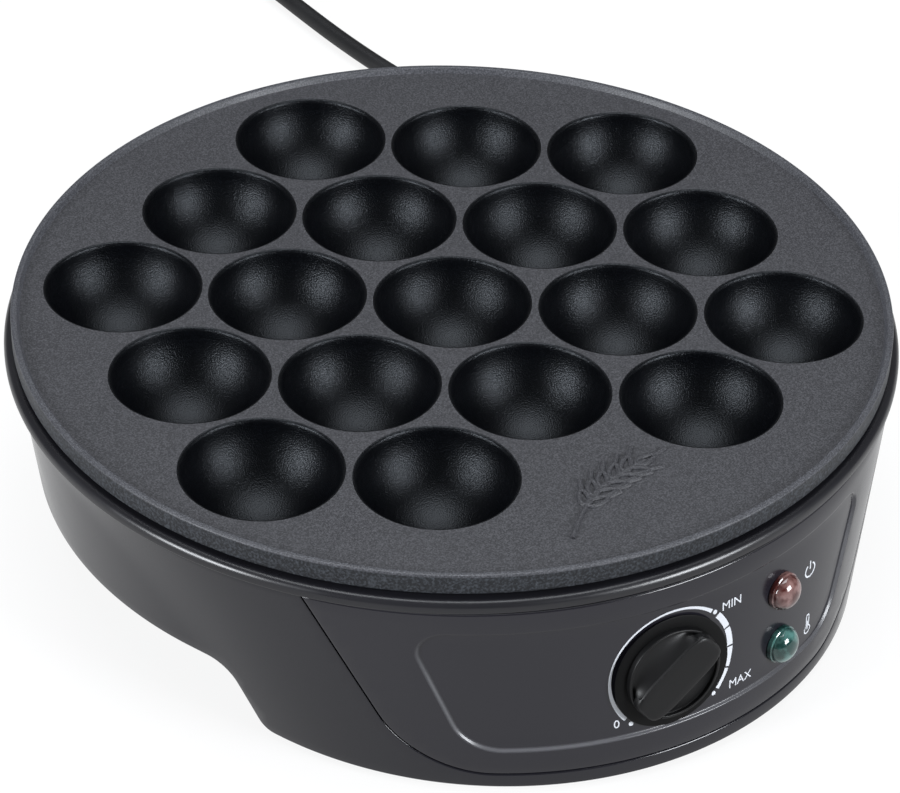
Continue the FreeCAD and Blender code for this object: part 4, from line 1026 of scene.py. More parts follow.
    def build_motif(self) -> None:
        """A cereal ear in raised lines on the front of the face."""
        steps = 24
        lines = [([self.stem(k / steps) for k in range(steps + 1)], False)]
        for share in self.grain_pairs:
            for side in Side:
                lines += self.grain(share, side.value * self.grain_lean)
        lines += self.grain(self.grain_last, 0.0)
        place = Matrix.Translation(self.at(self.pitch * 2 + self.motif_forward, self.motif_degrees))
        place = place @ Matrix.Rotation(math.radians(self.motif_turn), 4, "Z")
        points, edges = [], []
        for run, closed in lines:
            start, count = len(points), len(run)
            points += [place @ Vector((x, y, 0.0)) for x, y in run]
            edges += [(start + k, start + k + 1) for k in range(count - 1)]
            if closed:
                edges.append((start + count - 1, start))
        mesh = grown("plate_motif", raw_mesh("motif_lines", points, edges=edges), BEAD,
                     {"Radius": self.motif_radius, "Flatness": self.motif_flatness, "Level": self.face,
                      "Finish": PLATE_FACE.material()})
        finished("plate_motif", weld(mesh), PLATE_FACE, "plate_coating", crease=60.0)

    def build(self) -> None:
        """Builds every piece of the plate."""
        self.build_cups()
        self.build_face()
        self.build_lip()
        self.build_side()
        self.build_motif()


@dataclass
class Housing:
    """The plastic housing: a round wall, a front that flares to the table, arches between the legs."""

    axis: Vector
    top: float = 55.2 * MM
    ring_top: float = 58.5 * MM
    ring_radius: float = 116.8 * MM
    ring_width: float = 6.8 * MM
    ring_lift: float = 0.1 * MM
    ring_rounds: Point2 = (0.5 * MM, 2.0 * MM)
    wall_top_radius: float = 114.2 * MM
    draft: float = 0.1315
    wall: float = 2.2 * MM
    pod_top_radius: float = 114.5 * MM
    pod_top_front: float = 116.7 * MM
    pod_base_radius: float = 93.5 * MM
    pod_base_front: float = 121.9 * MM
    blend: float = 1.2 * MM
    leg: float = 2.0 * MM
    leg_degrees: tuple[float, float] = (59.0, 122.0)
    leg_near: float = 14.0
    turn_steps: Point2 = (0.25, 1.0)
    arch: float = 20.0 * MM
    arch_half: float = 60.0 * MM
    arch_flare: float = 7.0 * MM
    arch_round: float = 8.0 * MM
    leg_round: float = 4.0 * MM
    lower_roll: float = 0.6 * MM
    panel_base: float = 6.2 * MM
    panel_half: float = 85.3 * MM
    panel_shift: float = 2.8 * MM
    panel_slope: float = 0.445
    panel_round: float = 26.0 * MM
    panel_thick: float = 2.4 * MM
    panel_roll: float = 0.45 * MM
    panel_drop: float = 0.33 * MM
    panel_gap: float = 0.3 * MM
    panel_bound: float = 0.025 * MM
    pocket_slant: float = 0.02 * MM
    pocket_clear: float = 1.0 * MM
    seam: float = 0.22 * MM
    inset_top: float = 48.8 * MM
    inset_base: float = 13.2 * MM
    inset_half: float = 65.8 * MM
    inset_slope: float = 0.366
    inset_round: float = 12.0 * MM
    inset_depth: float = 0.8 * MM
    # Steps of the inset's edge: how far in, its depth as a share, and the strength of the painted highlight
    # and rougher gloss there.
    inset_steps: tuple[tuple[float, float, float], ...] = (
        (-0.50 * MM, 0.0, 0.0), (-0.20 * MM, 0.05, 0.6), (0.0, 0.20, 1.0), (0.16 * MM, 0.80, 1.0),
        (0.36 * MM, 0.95, 0.6), (0.70 * MM, 1.0, 0.0))
    inset_clear: Point2 = (1.5 * MM, 2.1 * MM)
    # The painted highlight on the inset's edge is full below this height and fades out towards the inset's
    # top.
    highlight_to: float = 34.0 * MM
    spacing: float = 3.0 * MM
    edge_step: float = 1.5 * MM
    clear: float = 0.8 * MM
    top_bevel: Point2 = (0.25 * MM, 0.1 * MM)
    top_clear: float = 2.0 * MM
    turn_margin: float = 0.012
    merge: float = 0.02 * MM
    crease: float = 50.0
    screw_degrees: tuple[float, ...] = (72.0, 108.0, 252.0, 288.0)
    screw_ring: float = 103.0 * MM
    screw_head: float = 3.2 * MM
    screw_crown: float = 2.7 * MM
    screw_recess: Point2 = (0.9 * MM, 1.2 * MM)
    screw_shank: float = 1.7 * MM
    screw_length: float = 10.0 * MM
    foot_radius: float = 7.0 * MM
    foot_plug: Point2 = (3.4 * MM, 6.4 * MM)
    foot_hollow: tuple[float, float, float] = (3.5 * MM, 4.2 * MM, 0.5 * MM)
    foot_rounds: tuple[float, ...] = (0.0, 0.0, 0.3 * MM, 0.7 * MM, 0.0, 0.0, 0.6 * MM, 0.0)
    foot_places: tuple[Point2, ...] = ((52.0 * MM, -83.0 * MM), (58.0 * MM, 76.0 * MM))

    def __post_init__(self) -> None:
        """Works out the outline of the arch and the rolled edges at the panel's seam once."""
        outer = self.arch_half + self.arch_flare
        corners = [(0.0, self.arch), (self.arch_half, self.arch), (outer, self.leg), (2 * outer, self.leg)]
        self.arch_run = fillet_run(corners, [0, self.arch_round, self.leg_round, 0], False, 10)
        edge = self.panel_roll
        self.seam_roll = ((edge, 0.0), (edge * 0.45, 0.07 * MM), (edge * 0.13, 0.22 * MM), (0.0, edge))

    def pod_circle(self, height: float) -> tuple[float, float]:
        """The circle of the flared front at a height.

        Args:
            height: the height.

        Returns:
            The Y of its middle from the axis, and its radius.
        """
        share = height / self.top
        base = self.pod_base_radius - self.pod_base_front
        middle = base + (self.pod_top_radius - self.pod_top_front - base) * share
        return middle, self.pod_base_radius + (self.pod_top_radius - self.pod_base_radius) * share

    def reach(self, turn: float, height: float) -> float:
        """How far the outside lies from the axis at an angle from the front.

        Args:
            turn: the angle, in radians, towards +X.
            height: the height.

        Returns:
            The distance, softened where the two surfaces meet.
        """
        round_wall = self.wall_top_radius - (self.top - height) * self.draft
        middle, radius = self.pod_circle(height)
        front = -middle * math.cos(turn) + math.sqrt(max(radius ** 2 - (middle * math.sin(turn)) ** 2, 0.0))
        gap = max(self.blend - abs(front - round_wall), 0.0) / self.blend
        return max(front, round_wall) + gap * gap * self.blend / 4

    def bare_spot(self, turn: float, height: float) -> Vector:
        """A place on the outside."""
        far = self.reach(turn, height)
        return self.axis + Vector((far * math.sin(turn), -far * math.cos(turn), height))

    def spot(self, turn: float, height: float, depth: float = 0.0) -> Vector:
        """A place on or under the outside.

        Args:
            turn: the angle from the front, in radians.
            height: the height.
            depth: how far under the outside.

        Returns:
            The place.
        """
        here = self.bare_spot(turn, height)
        if depth == 0.0:
            return here
        small = 0.2 * MM
        aside = small / self.top
        across = self.bare_spot(turn + aside, height) - self.bare_spot(turn - aside, height)
        upward = self.bare_spot(turn, height + small) - self.bare_spot(turn, height - small)
        return here - across.cross(upward).normalized() * depth

    def pod_turn(self, x: float, height: float) -> float:
        """The angle from the front of a place on the flared front."""
        middle, radius = self.pod_circle(height)
        return math.atan2(x, -(middle - math.sqrt(radius ** 2 - x * x)))

    def front(self, x: float, height: float, depth: float = 0.0) -> Vector:
        """A place on the flared front by its distance from the middle."""
        return self.spot(self.pod_turn(x, height), height, depth)

    def front_frame(self, x: float, height: float) -> Matrix:
        """A frame on the flared front: X along it, Y up it and Z out of it.

        Args:
            x: the distance from the middle.
            height: the height.

        Returns:
            The frame.
        """
        small = 0.5 * MM
        across = (self.front(x + small, height) - self.front(x - small, height)).normalized()
        upward = (self.front(x, height + small) - self.front(x, height - small)).normalized()
        outward = across.cross(upward).normalized()
        level = UP.cross(outward).normalized()
        spun = Matrix((level, outward.cross(level), outward)).transposed().to_4x4()
        return Matrix.Translation(self.front(x, height)) @ spun

    def lower_edge(self, turn: float) -> float:
        """The height of the wall's lower edge.

        Args:
            turn: the angle from the front, in radians.

        Returns:
            The height.
        """
        height = self.leg
        rounds = 12
        for _ in range(rounds):
            across = abs(self.reach(turn, height) * math.cos(turn))
            height = (height + self.arch_height(across)) / 2
        return height

    def arch_height(self, across: float) -> float:
        """The height of the arch's outline.

        Args:
            across: the distance from the middle plane.

        Returns:
            The height.
        """
        for (ax, az), (bx, bz) in zip(self.arch_run, self.arch_run[1:]):
            if across <= bx:
                return az + (bz - az) * max(across - ax, 0.0) / (bx - ax)
        return self.leg

    def set_over(self, half: Callable[[float], float], low: float, high: float) -> list[Point2]:
        """The corners of an outline about the panel's middle, anticlockwise from the lower left.

        Args:
            half: gives half the outline's width at a height.
            low: its lower height.
            high: its upper height.

        Returns:
            The corners as (x, height).
        """
        shift = self.panel_shift
        return [(shift - half(low), low), (shift + half(low), low), (shift + half(high), high),
                (shift - half(high), high)]

    def panel_outline(self, grow: float) -> list[Point2]:
        """The panel's outline seen from the front, grown by a distance.

        Args:
            grow: how far outside the panel, less than 0 for inside.

        Returns:
            Points as (x, height), anticlockwise.
        """
        wider = self.panel_half + grow * math.hypot(1.0, self.panel_slope)
        high = self.top - self.panel_drop + (grow if grow < 0.0 else grow * 0.1)
        corners = self.set_over(lambda height: wider - self.panel_slope * (self.top - height),
                                self.panel_base - grow, high)
        return fillet_run(corners, [self.panel_round + grow] * 2 + [0, 0], True, 14)

    def inset_outline(self, shrink: float) -> list[Point2]:
        """The inset's outline seen from the front, drawn in by a distance.

        Args:
            shrink: how far inside the inset's edge.

        Returns:
            Points as (x, height), anticlockwise.
        """
        narrower = self.inset_half - shrink * math.hypot(1.0, self.inset_slope)
        corners = self.set_over(lambda height: narrower - self.inset_slope * (self.inset_top - height),
                                self.inset_base + shrink, self.inset_top - shrink)
        lower, upper = self.inset_round - shrink, self.inset_round / 2 - shrink
        return fillet_run(corners, [lower, lower, upper, upper], True, 10)

    def wall_turns(self) -> list[float]:
        """Angles round the wall, closer together near the legs.

        Returns:
            The angles, in radians.
        """
        turns = []
        degree = -180.0
        while degree < 180.0:
            turns.append(math.radians(degree))
            near_leg = min(abs(abs(degree) - leg) for leg in self.leg_degrees) < self.leg_near
            degree += self.turn_steps[0 if near_leg else 1]
        return [*turns, math.pi]

    def pocket(self, grow: float) -> list[Point2]:
        """The panel's outline, grown by a distance, on the wall laid flat."""
        run = evenly(self.panel_outline(grow), self.edge_step)
        return [(self.pod_turn(x, height) * self.wall_top_radius, height) for x, height in run]

    def build_shell(self) -> None:
        """The wall as one skin, with rolled lower edges and a pocket for the panel."""
        scale = self.wall_top_radius
        turns = self.wall_turns()
        lows = [self.lower_edge(turn) for turn in turns]
        skin = Skin()
        roll = self.lower_roll
        steps = 5
        for step in range(steps + 1):
            angle = math.pi / 2 * step / steps
            rise, depth = roll * (1 - math.cos(angle)), roll * (1 - math.sin(angle))
            skin.add_loop([(turn * scale, low + rise) for turn, low in zip(turns, lows)], depth, False)
        for drop, depth in ((self.top_bevel[0], 0.0), (0.0, self.top_bevel[1])):
            skin.add_loop([(turn * scale, self.top - drop) for turn in turns], depth, False)
        for grow, depth in (*self.seam_roll, (-self.pocket_slant, self.panel_thick)):
            skin.add_loop(self.pocket(self.seam + grow), depth)
        clear = self.pocket(self.seam + self.panel_roll + self.clear)
        deep = self.pocket(self.seam - self.pocket_clear)
        columns = round(FULL_TURN * scale / self.spacing)
        wall_points, pocket_points = [], []
        for column in range(columns):
            turn = -math.pi + FULL_TURN * (column + 0.5) / columns
            low = max(self.lower_edge(turn + nudge * self.turn_margin) for nudge in (-1, 0, 1))
            height = self.top - self.top_clear
            while height > low + roll + self.clear:
                spot = (turn * scale, height)
                if inside(spot, deep):
                    pocket_points.append(spot)
                elif not inside(spot, clear):
                    wall_points.append(spot)
                height -= self.spacing
        skin.add_points(wall_points, 0.0)
        skin.add_points(pocket_points, self.panel_thick)
        points, faces, _ = skin.shape(lambda flat, depth: self.spot(flat[0] / scale, flat[1], depth),
                                      lambda middle: middle[1] > self.lower_edge(middle[0] / scale))
        sheet = weld(raw_mesh("housing_shell", points, faces), self.merge, False)
        finished("housing_shell", walled(sheet, self.wall), HOUSING_GLOSS, "housing", "body_shell",
                 crease=self.crease)

    def build_panel(self) -> None:
        """The control panel with rolled edges and a shallow inset, with a painted highlight and a rougher
        gloss along the inset's lower edge.
        """
        skin = Skin()
        rolled = [(-grow, depth) for grow, depth in reversed(self.seam_roll)]
        for grow, depth in [(self.pocket_slant, self.panel_thick - self.panel_gap), *rolled]:
            skin.add_loop(evenly(self.panel_outline(grow), self.edge_step), depth)
        for shrink, share, wear in self.inset_steps:
            outline = evenly(self.inset_outline(shrink), self.edge_step)
            skin.add_loop(outline, share * self.inset_depth, wear=wear)
        border = self.panel_outline(-self.panel_roll - self.clear)
        outer, floor = self.inset_outline(-self.inset_clear[0]), self.inset_outline(self.inset_clear[1])
        face_points, floor_points = [], []
        columns = round((self.panel_half + self.panel_shift) / self.spacing)
        for column in range(-columns, columns + 1):
            height = self.panel_base
            while height < self.top:
                spot = (column * self.spacing, height)
                if inside(spot, floor):
                    floor_points.append(spot)
                elif inside(spot, border) and not inside(spot, outer):
                    face_points.append(spot)
                height += self.spacing
        skin.add_points(face_points, 0.0)
        skin.add_points(floor_points, self.inset_depth)
        bound = self.panel_outline(self.panel_bound)
        points, faces, marks = skin.shape(lambda flat, depth: self.front(*flat, depth),
                                          lambda middle: inside(middle, bound))
        # A painted highlight, with a rougher gloss, along the inset's edge: full low down and fading out
        # towards its top.
        fade = self.inset_top - self.highlight_to
        fades = [min(1.0, max(0.0, (self.inset_top - point.z) / fade)) for point in points]
        highlight_edge = [mark * share for mark, share in zip(marks, fades)]
        sheet = raw_mesh("front_panel_skin", points, faces)
        sheet.attributes.new(EDGE_HIGHLIGHT, "FLOAT", "POINT").data.foreach_set("value", highlight_edge)
        finished("front_panel_skin", walled(sheet, self.wall / 2), PANEL_GLOSS, "panel", "front_panel",
                 crease=self.crease)

    def build_ring(self) -> None:
        """The ring between the wall and the plate."""
        outer, inner = self.ring_radius, self.ring_radius - self.ring_width
        low, high = self.top + self.ring_lift, self.ring_top
        profile = fillet_run([(inner, low), (outer, low), (outer, high), (inner, high)],
                             [0, *self.ring_rounds, 0], True, 8)
        mesh = turned("ring", profile, 320, True, Matrix.Translation(self.axis))
        finished("ring", mesh, TRIM_GLOSS, "housing_trim", "rim_ring")

    def build_screws(self) -> None:
        """The screws of the base, with their recesses."""
        middle = self.axis + UP * self.arch
        heads = [middle + bearing(degrees) * self.screw_ring for degrees in self.screw_degrees]
        drop = self.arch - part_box("base_screws")[0].z
        head, shank, end = self.screw_head, self.screw_shank, self.screw_length
        deep, mouth = self.screw_recess
        profile = [(0.0, -drop * 0.35), (deep, -drop * 0.45), (mouth, -drop), (self.screw_crown, -drop),
                   (head, -drop * 0.7), (head, 0.0), (shank, 0.0), (shank, end), (0.0, end)]
        screw = turned("one_screw", profile, 28)
        finished("screws", copies("screws", screw, heads, STEEL), STEEL, "steel", "base_screws")

    def build_feet(self) -> None:
        """The rubber feet, with their plugs in the legs."""
        places = [self.axis + Vector((side.value * x, y, 0.0)) for side in Side for x, y in self.foot_places]
        radius, leg = self.foot_radius, self.leg
        plug, end = self.foot_plug
        inner, outer, hollow = self.foot_hollow
        corners = [(0.0, hollow), (inner, hollow), (outer, 0.0), (radius, 0.0), (radius, leg), (plug, leg),
                   (plug, end), (0.0, end)]
        profile = fillet_run(corners, self.foot_rounds, False, 5)
        mesh = copies("feet", turned("one_foot", profile, 40), places, FOOT_RUBBER)
        finished("feet", mesh, FOOT_RUBBER, "foot_rubber", "rubber_feet")

    def build(self) -> None:
        """Builds every piece of the housing."""
        self.build_shell()
        self.build_panel()
        self.build_ring()
        self.build_screws()
        self.build_feet()


@dataclass
class Controls:
    """The dial's knob, its printed scale and the two lamps."""

    housing: Housing
    dial_height: float = 29.5 * MM
    knob_base: float = -0.45 * MM
    # A flat near-black ring under the dial stands for the shaded recess round it: painted shade.
    shade_ring_radius: float = 15.8 * MM
    shade_ring_thick: float = 0.4 * MM
    shade_ring_overlap: float = 1.0 * MM
    dial_segments: int = 128
    dial_radius: float = 12.7 * MM
    dial_top: float = 1.7 * MM
    dial_floor: float = 0.7 * MM
    dial_rim: float = 0.8 * MM
    grip: float = 4.2 * MM
    grip_width: float = 10.4 * MM
    grip_half: float = 12.5 * MM
    grip_square: float = 4.5
    grip_degrees: float = 218.0
    off_degrees: float = 225.0
    low_degrees: float = 45.0
    high_degrees: float = -45.0
    scale_radius: float = 17.1 * MM
    scale_shift: float = 0.7 * MM
    scale_gap: float = 4.0
    scale_steps: int = 4
    scale_slit: float = 0.9
    step_width: float = 1.7 * MM
    sweep_widths: Point2 = (1.10 * MM, 0.65 * MM)
    off_shift: float = 3.5
    dot: float = 0.62 * MM
    dot_out: float = 0.2 * MM
    fine_line: float = 0.42 * MM
    marks: tuple[tuple[str, float, float, float], ...] = (
        ("0", -15.4, 16.2, 2.5), ("MIN", 15.0, 41.0, 2.6), ("MAX", 17.7, 16.4, 2.6))
    letter_ratio: float = 1.35
    power_sign: Point2 = (46.4 * MM, 36.4 * MM)
    power_radius: float = 1.9 * MM
    power_bar: Point2 = (0.3 * MM, 2.7 * MM)
    heat_sign: Point2 = (46.7 * MM, 19.4 * MM)
    heat_bulb: Point2 = (-1.9 * MM, 1.15 * MM)
    heat_tube: Point2 = (2.2 * MM, 0.55 * MM)
    heat_level: float = 0.8 * MM
    lamp_across: float = 35.2 * MM
    lamp_heights: Point2 = (37.3 * MM, 21.0 * MM)
    lens_radius: float = 5.0 * MM
    lens_reach: float = 4.6 * MM
    lens_stem: float = 0.75
    lens_collar: float = 0.94
    lens_shoulder: Point2 = (0.25, 0.30)
    lens_round: float = 0.2 * MM
    lens_seat: float = 0.05 * MM
    lens_sunk: float = 1.5 * MM
    ink: float = 0.06 * MM
    knob_crease: float = 35.0
    print_crease: float = 30.0

    def build_knob(self) -> None:
        """The dial with its raised rim, scooped face and bar grip, over a flat near-black ring that is
        painted shade of the recess round it.
        """
        place = self.housing.front_frame(0.0, self.dial_height)
        base, rim, edge = self.knob_base, self.dial_radius, self.shade_ring_radius
        groove, inner = rim - self.dial_rim, rim - self.shade_ring_overlap
        high = base + self.shade_ring_thick
        # The ring is painted shade: near black where the recess round the dial lies in shadow.
        skirt = [(inner, base), (edge, base), (edge, high - 0.15 * MM), (edge - 0.3 * MM, high),
                 (inner, high)]
        mesh = turned("knob_skirt", skirt, self.dial_segments, True, place)
        finished("knob_skirt", mesh, PAINTED_SHADE_RING, "knob", crease=self.knob_crease, body=KNOB)
        top, floor = self.dial_top, self.dial_floor
        profile = fillet_run([(0.0, base), (rim, base), (rim, top), (groove, top), (groove - 0.1 * MM, floor),
                              (0.0, floor)], [0, 0, 0.3 * MM, 0.25 * MM, 0.1 * MM, 0], False, 5)
        bar = joined("knob_bar", (self.scoop_mesh(), self.grip_mesh()))
        bar.transform(Matrix.Rotation(math.radians(self.grip_degrees), 4, "Z"))
        mesh = joined("knob_whole", (turned("knob_dial", profile, self.dial_segments), bar))
        mesh.transform(place)
        finished("knob_whole", mesh, KNOB_GLOSS, "knob", "control_knob", crease=self.knob_crease, body=KNOB)

    def scoop_mesh(self) -> bpy.types.Mesh:
        """The two hollows beside the bar, rising from the dial's groove to the bar's edges.

        Returns:
            The mesh in the bar's frame.
        """
        wide = self.grip_width / 2 - 0.2 * MM
        edge = self.dial_radius - self.dial_rim - 0.35 * MM
        low, high = self.dial_floor, self.grip - 0.55 * MM
        reach = math.sqrt(edge ** 2 - wide ** 2) * 0.99
        across, along = 14, 40
        work = bmesh.new()
        for side in Side:
            rows = []
            for step in range(along + 1):
                u = -reach * math.cos(math.pi * step / along)
                chord = math.sqrt(edge ** 2 - u * u)
                row = []
                for part in range(across + 1):
                    share = part / across
                    height = low + (high - low) * (1 - share) ** 2
                    row.append(work.verts.new((u, side.value * (wide + (chord - wide) * share), height)))
                rows.append(row)
            for here, there in zip(rows, rows[1:]):
                for part in range(across):
                    work.faces.new((here[part], there[part], there[part + 1], here[part + 1]))
        sunk = bmesh.ops.extrude_face_region(work, geom=work.faces[:])
        for item in sunk["geom"]:
            if isinstance(item, bmesh.types.BMVert):
                item.co.z = low - 0.3 * MM
        return weld(work_mesh("knob_scoops", work))

    def grip_mesh(self) -> bpy.types.Mesh:
        """The bar across the dial, with square edges and rounded ends.

        Returns:
            The mesh in the bar's frame.
        """
        wide, far, high = self.grip_width / 2, self.grip_half, self.grip
        levels = ((wide + 0.2 * MM, far, self.dial_floor - 0.5 * MM),
                  (wide + 0.1 * MM, far, high - 1.2 * MM),
                  (wide, far - 0.2 * MM, high - 0.5 * MM),
                  (wide - 0.25 * MM, far - 0.5 * MM, high - 0.15 * MM),
                  (wide - 0.7 * MM, far - 1.1 * MM, high),
                  (wide - 2.4 * MM, far - 3.0 * MM, high + 0.05 * MM))
        rings = []
        for half, reach, height in levels:
            rings.append([Vector((x, y, height)) for x, y in oval(reach, half, self.grip_square, 72)])
        return lofted("knob_grip", rings)

    def on_inset(self, x: float, height: float, lift: float) -> Vector:
        """A place on the inset's floor, raised by an ink's thickness."""
        return self.housing.front(x, height, self.housing.inset_depth - lift)

    def ribbon(self, middle: Sequence[Point2], widths: Sequence[float]) -> tuple[list[Vector], list[tuple]]:
        """A flat printed line on the inset.

        Args:
            middle: its middle line, as (x, height).
            widths: its width at each point.

        Returns:
            Points and faces of a thin closed solid.
        """
        points, faces = [], []
        for index, (x, height) in enumerate(middle):
            before = middle[max(index - 1, 0)]
            after = middle[min(index + 1, len(middle) - 1)]
            way = Vector((after[0] - before[0], after[1] - before[1])).normalized() * widths[index] / 2
            for lift in (self.ink, -self.ink):
                points.append(self.on_inset(x - way.y, height + way.x, lift))
                points.append(self.on_inset(x + way.y, height - way.x, lift))
        last = len(points) - 4
        for here in range(0, last, 4):
            there = here + 4
            faces += [(here, here + 1, there + 1, there), (here + 2, there + 2, there + 3, here + 3),
                      (here, there, there + 2, here + 2), (here + 1, here + 3, there + 3, there + 1)]
        faces += [(0, 2, 3, 1), (last, last + 1, last + 3, last + 2)]
        return points, faces

    def scale_lines(self) -> list[tuple[list[Point2], list[float]]]:
        """The dial's scale: a thin sweep from the off mark, broad steps and three dots.

        Returns:
            Middle lines with their widths.
        """
        dial = (self.scale_shift, self.dial_height)
        count = 60
        first, last = self.off_degrees - self.scale_gap, self.low_degrees + self.scale_gap
        sweep = arc(dial, self.scale_radius, first, last, count)
        taper = []
        for k in range(count + 1):
            thinned = math.sqrt(math.sin(math.pi * k / count)) * min(1.0, k / 20)
            taper.append(self.sweep_widths[0] - self.sweep_widths[1] * thinned)
        lines = [(sweep, taper)]
        span = (self.low_degrees - self.high_degrees - 2 * self.scale_gap) / self.scale_steps
        for number in range(self.scale_steps):
            start = self.low_degrees - self.scale_gap - span * number
            run = arc(dial, self.scale_radius, start - self.scale_slit, start - span + self.scale_slit, 8)
            lines.append((run, [self.step_width] * len(run)))
        for degrees in (self.off_degrees + self.off_shift, self.low_degrees, self.high_degrees):
            x, height = arc(dial, self.scale_radius + self.dot_out, degrees, degrees, 1)[0]
            run = [(x + self.dot * (k / 6 - 1), height) for k in range(13)]
            widths = [2 * math.sqrt(max(self.dot ** 2 - (along - x) ** 2, 1e-10)) for along, _ in run]
            lines.append((run, widths))
        return lines

    def sign_lines(self) -> list[tuple[list[Point2], list[float]]]:
        """The two lamps' signs: a broken ring with a bar, and a thermometer.

        Returns:
            Middle lines with their widths.
        """
        fine = self.fine_line
        x, height = self.power_sign
        ring = arc(self.power_sign, self.power_radius, 122, 418, 24)
        lines = [(ring, [fine] * len(ring)), ([(x, height + rise) for rise in self.power_bar], [fine] * 2)]
        x, height = self.heat_sign
        (low, bulb_radius), (high, tube_radius) = self.heat_bulb, self.heat_tube
        bulb = (x, height + low)
        tube = arc(bulb, bulb_radius, 115, 425, 20) + arc((x, height + high), tube_radius, 0, 180, 8)
        tube.append(tube[0])
        lines.append((tube, [fine * 0.8] * len(tube)))
        lines.append(([bulb, (x, height + self.heat_level)], [fine] * 2))
        return lines

    def build_print(self) -> None:
        """The dial's scale and the lamps' signs, as thin solids of ink."""
        points: list[Vector] = []
        faces: list[tuple] = []
        for run, widths in self.scale_lines() + self.sign_lines():
            more, added = self.ribbon(run, widths)
            shift = len(points)
            points.extend(more)
            faces.extend(tuple(corner + shift for corner in face) for face in added)
        mesh = weld(raw_mesh("dial_print", points, faces), 1e-8)
        finished("dial_print", mesh, PRINT_WHITE, "panel", crease=self.print_crease)

    def build_words(self) -> None:
        """The plain marks beside the dial: 0, MIN and MAX."""
        for text, x, height, tall in self.marks:
            name = f"mark_{text}"
            curve = bpy.data.curves.new(name, "FONT")
            curve.body = text
            curve.size = tall * self.letter_ratio * MM
            curve.extrude = self.ink
            curve.resolution_u = 4
            mesh = bake(in_scene(name, curve))
            for corner in mesh.vertices:
                corner.co = self.on_inset(x * MM + corner.co.x, height * MM + corner.co.y, corner.co.z)
            finished(name, weld(mesh, 1e-8), PRINT_WHITE, "panel", crease=self.print_crease)

    def build_lamps(self) -> None:
        """The two lenses, domes with a fine collar."""
        radius, reach = self.lens_radius, self.lens_reach
        stem, collar = radius * self.lens_stem, radius * self.lens_collar
        base = -self.housing.inset_depth
        back, seat = base - self.lens_sunk, base + self.lens_seat
        low, high = self.lens_shoulder
        dome = [(0.0, back), (stem, back), (stem, seat)]
        dome += fillet_run([(radius, seat), (radius, base + reach * low), (collar, base + reach * high)],
                           [0, self.lens_round, 0], False, 4)
        steps = 14
        for step in range(1, steps):
            turn = math.pi / 2 * step / steps
            dome.append((collar * math.cos(turn), base + reach * (high + (1 - high) * math.sin(turn))))
        dome.append((0.0, base + reach))
        lamps = (("power_lens", LENS_RED, "lens_red", "power_lamp_lens"),
                 ("ready_lens", LENS_GREEN, "lens_green", "ready_lamp_lens"))
        for (name, finish, slot, node), height in zip(lamps, self.lamp_heights):
            mesh = turned(name, dome, 64, False, self.housing.front_frame(self.lamp_across, height))
            finished(name, mesh, finish, slot, node, crease=45.0)

    def build(self) -> None:
        """Builds every piece of the controls."""
        self.build_knob()
        self.build_print()
        self.build_words()
        self.build_lamps()


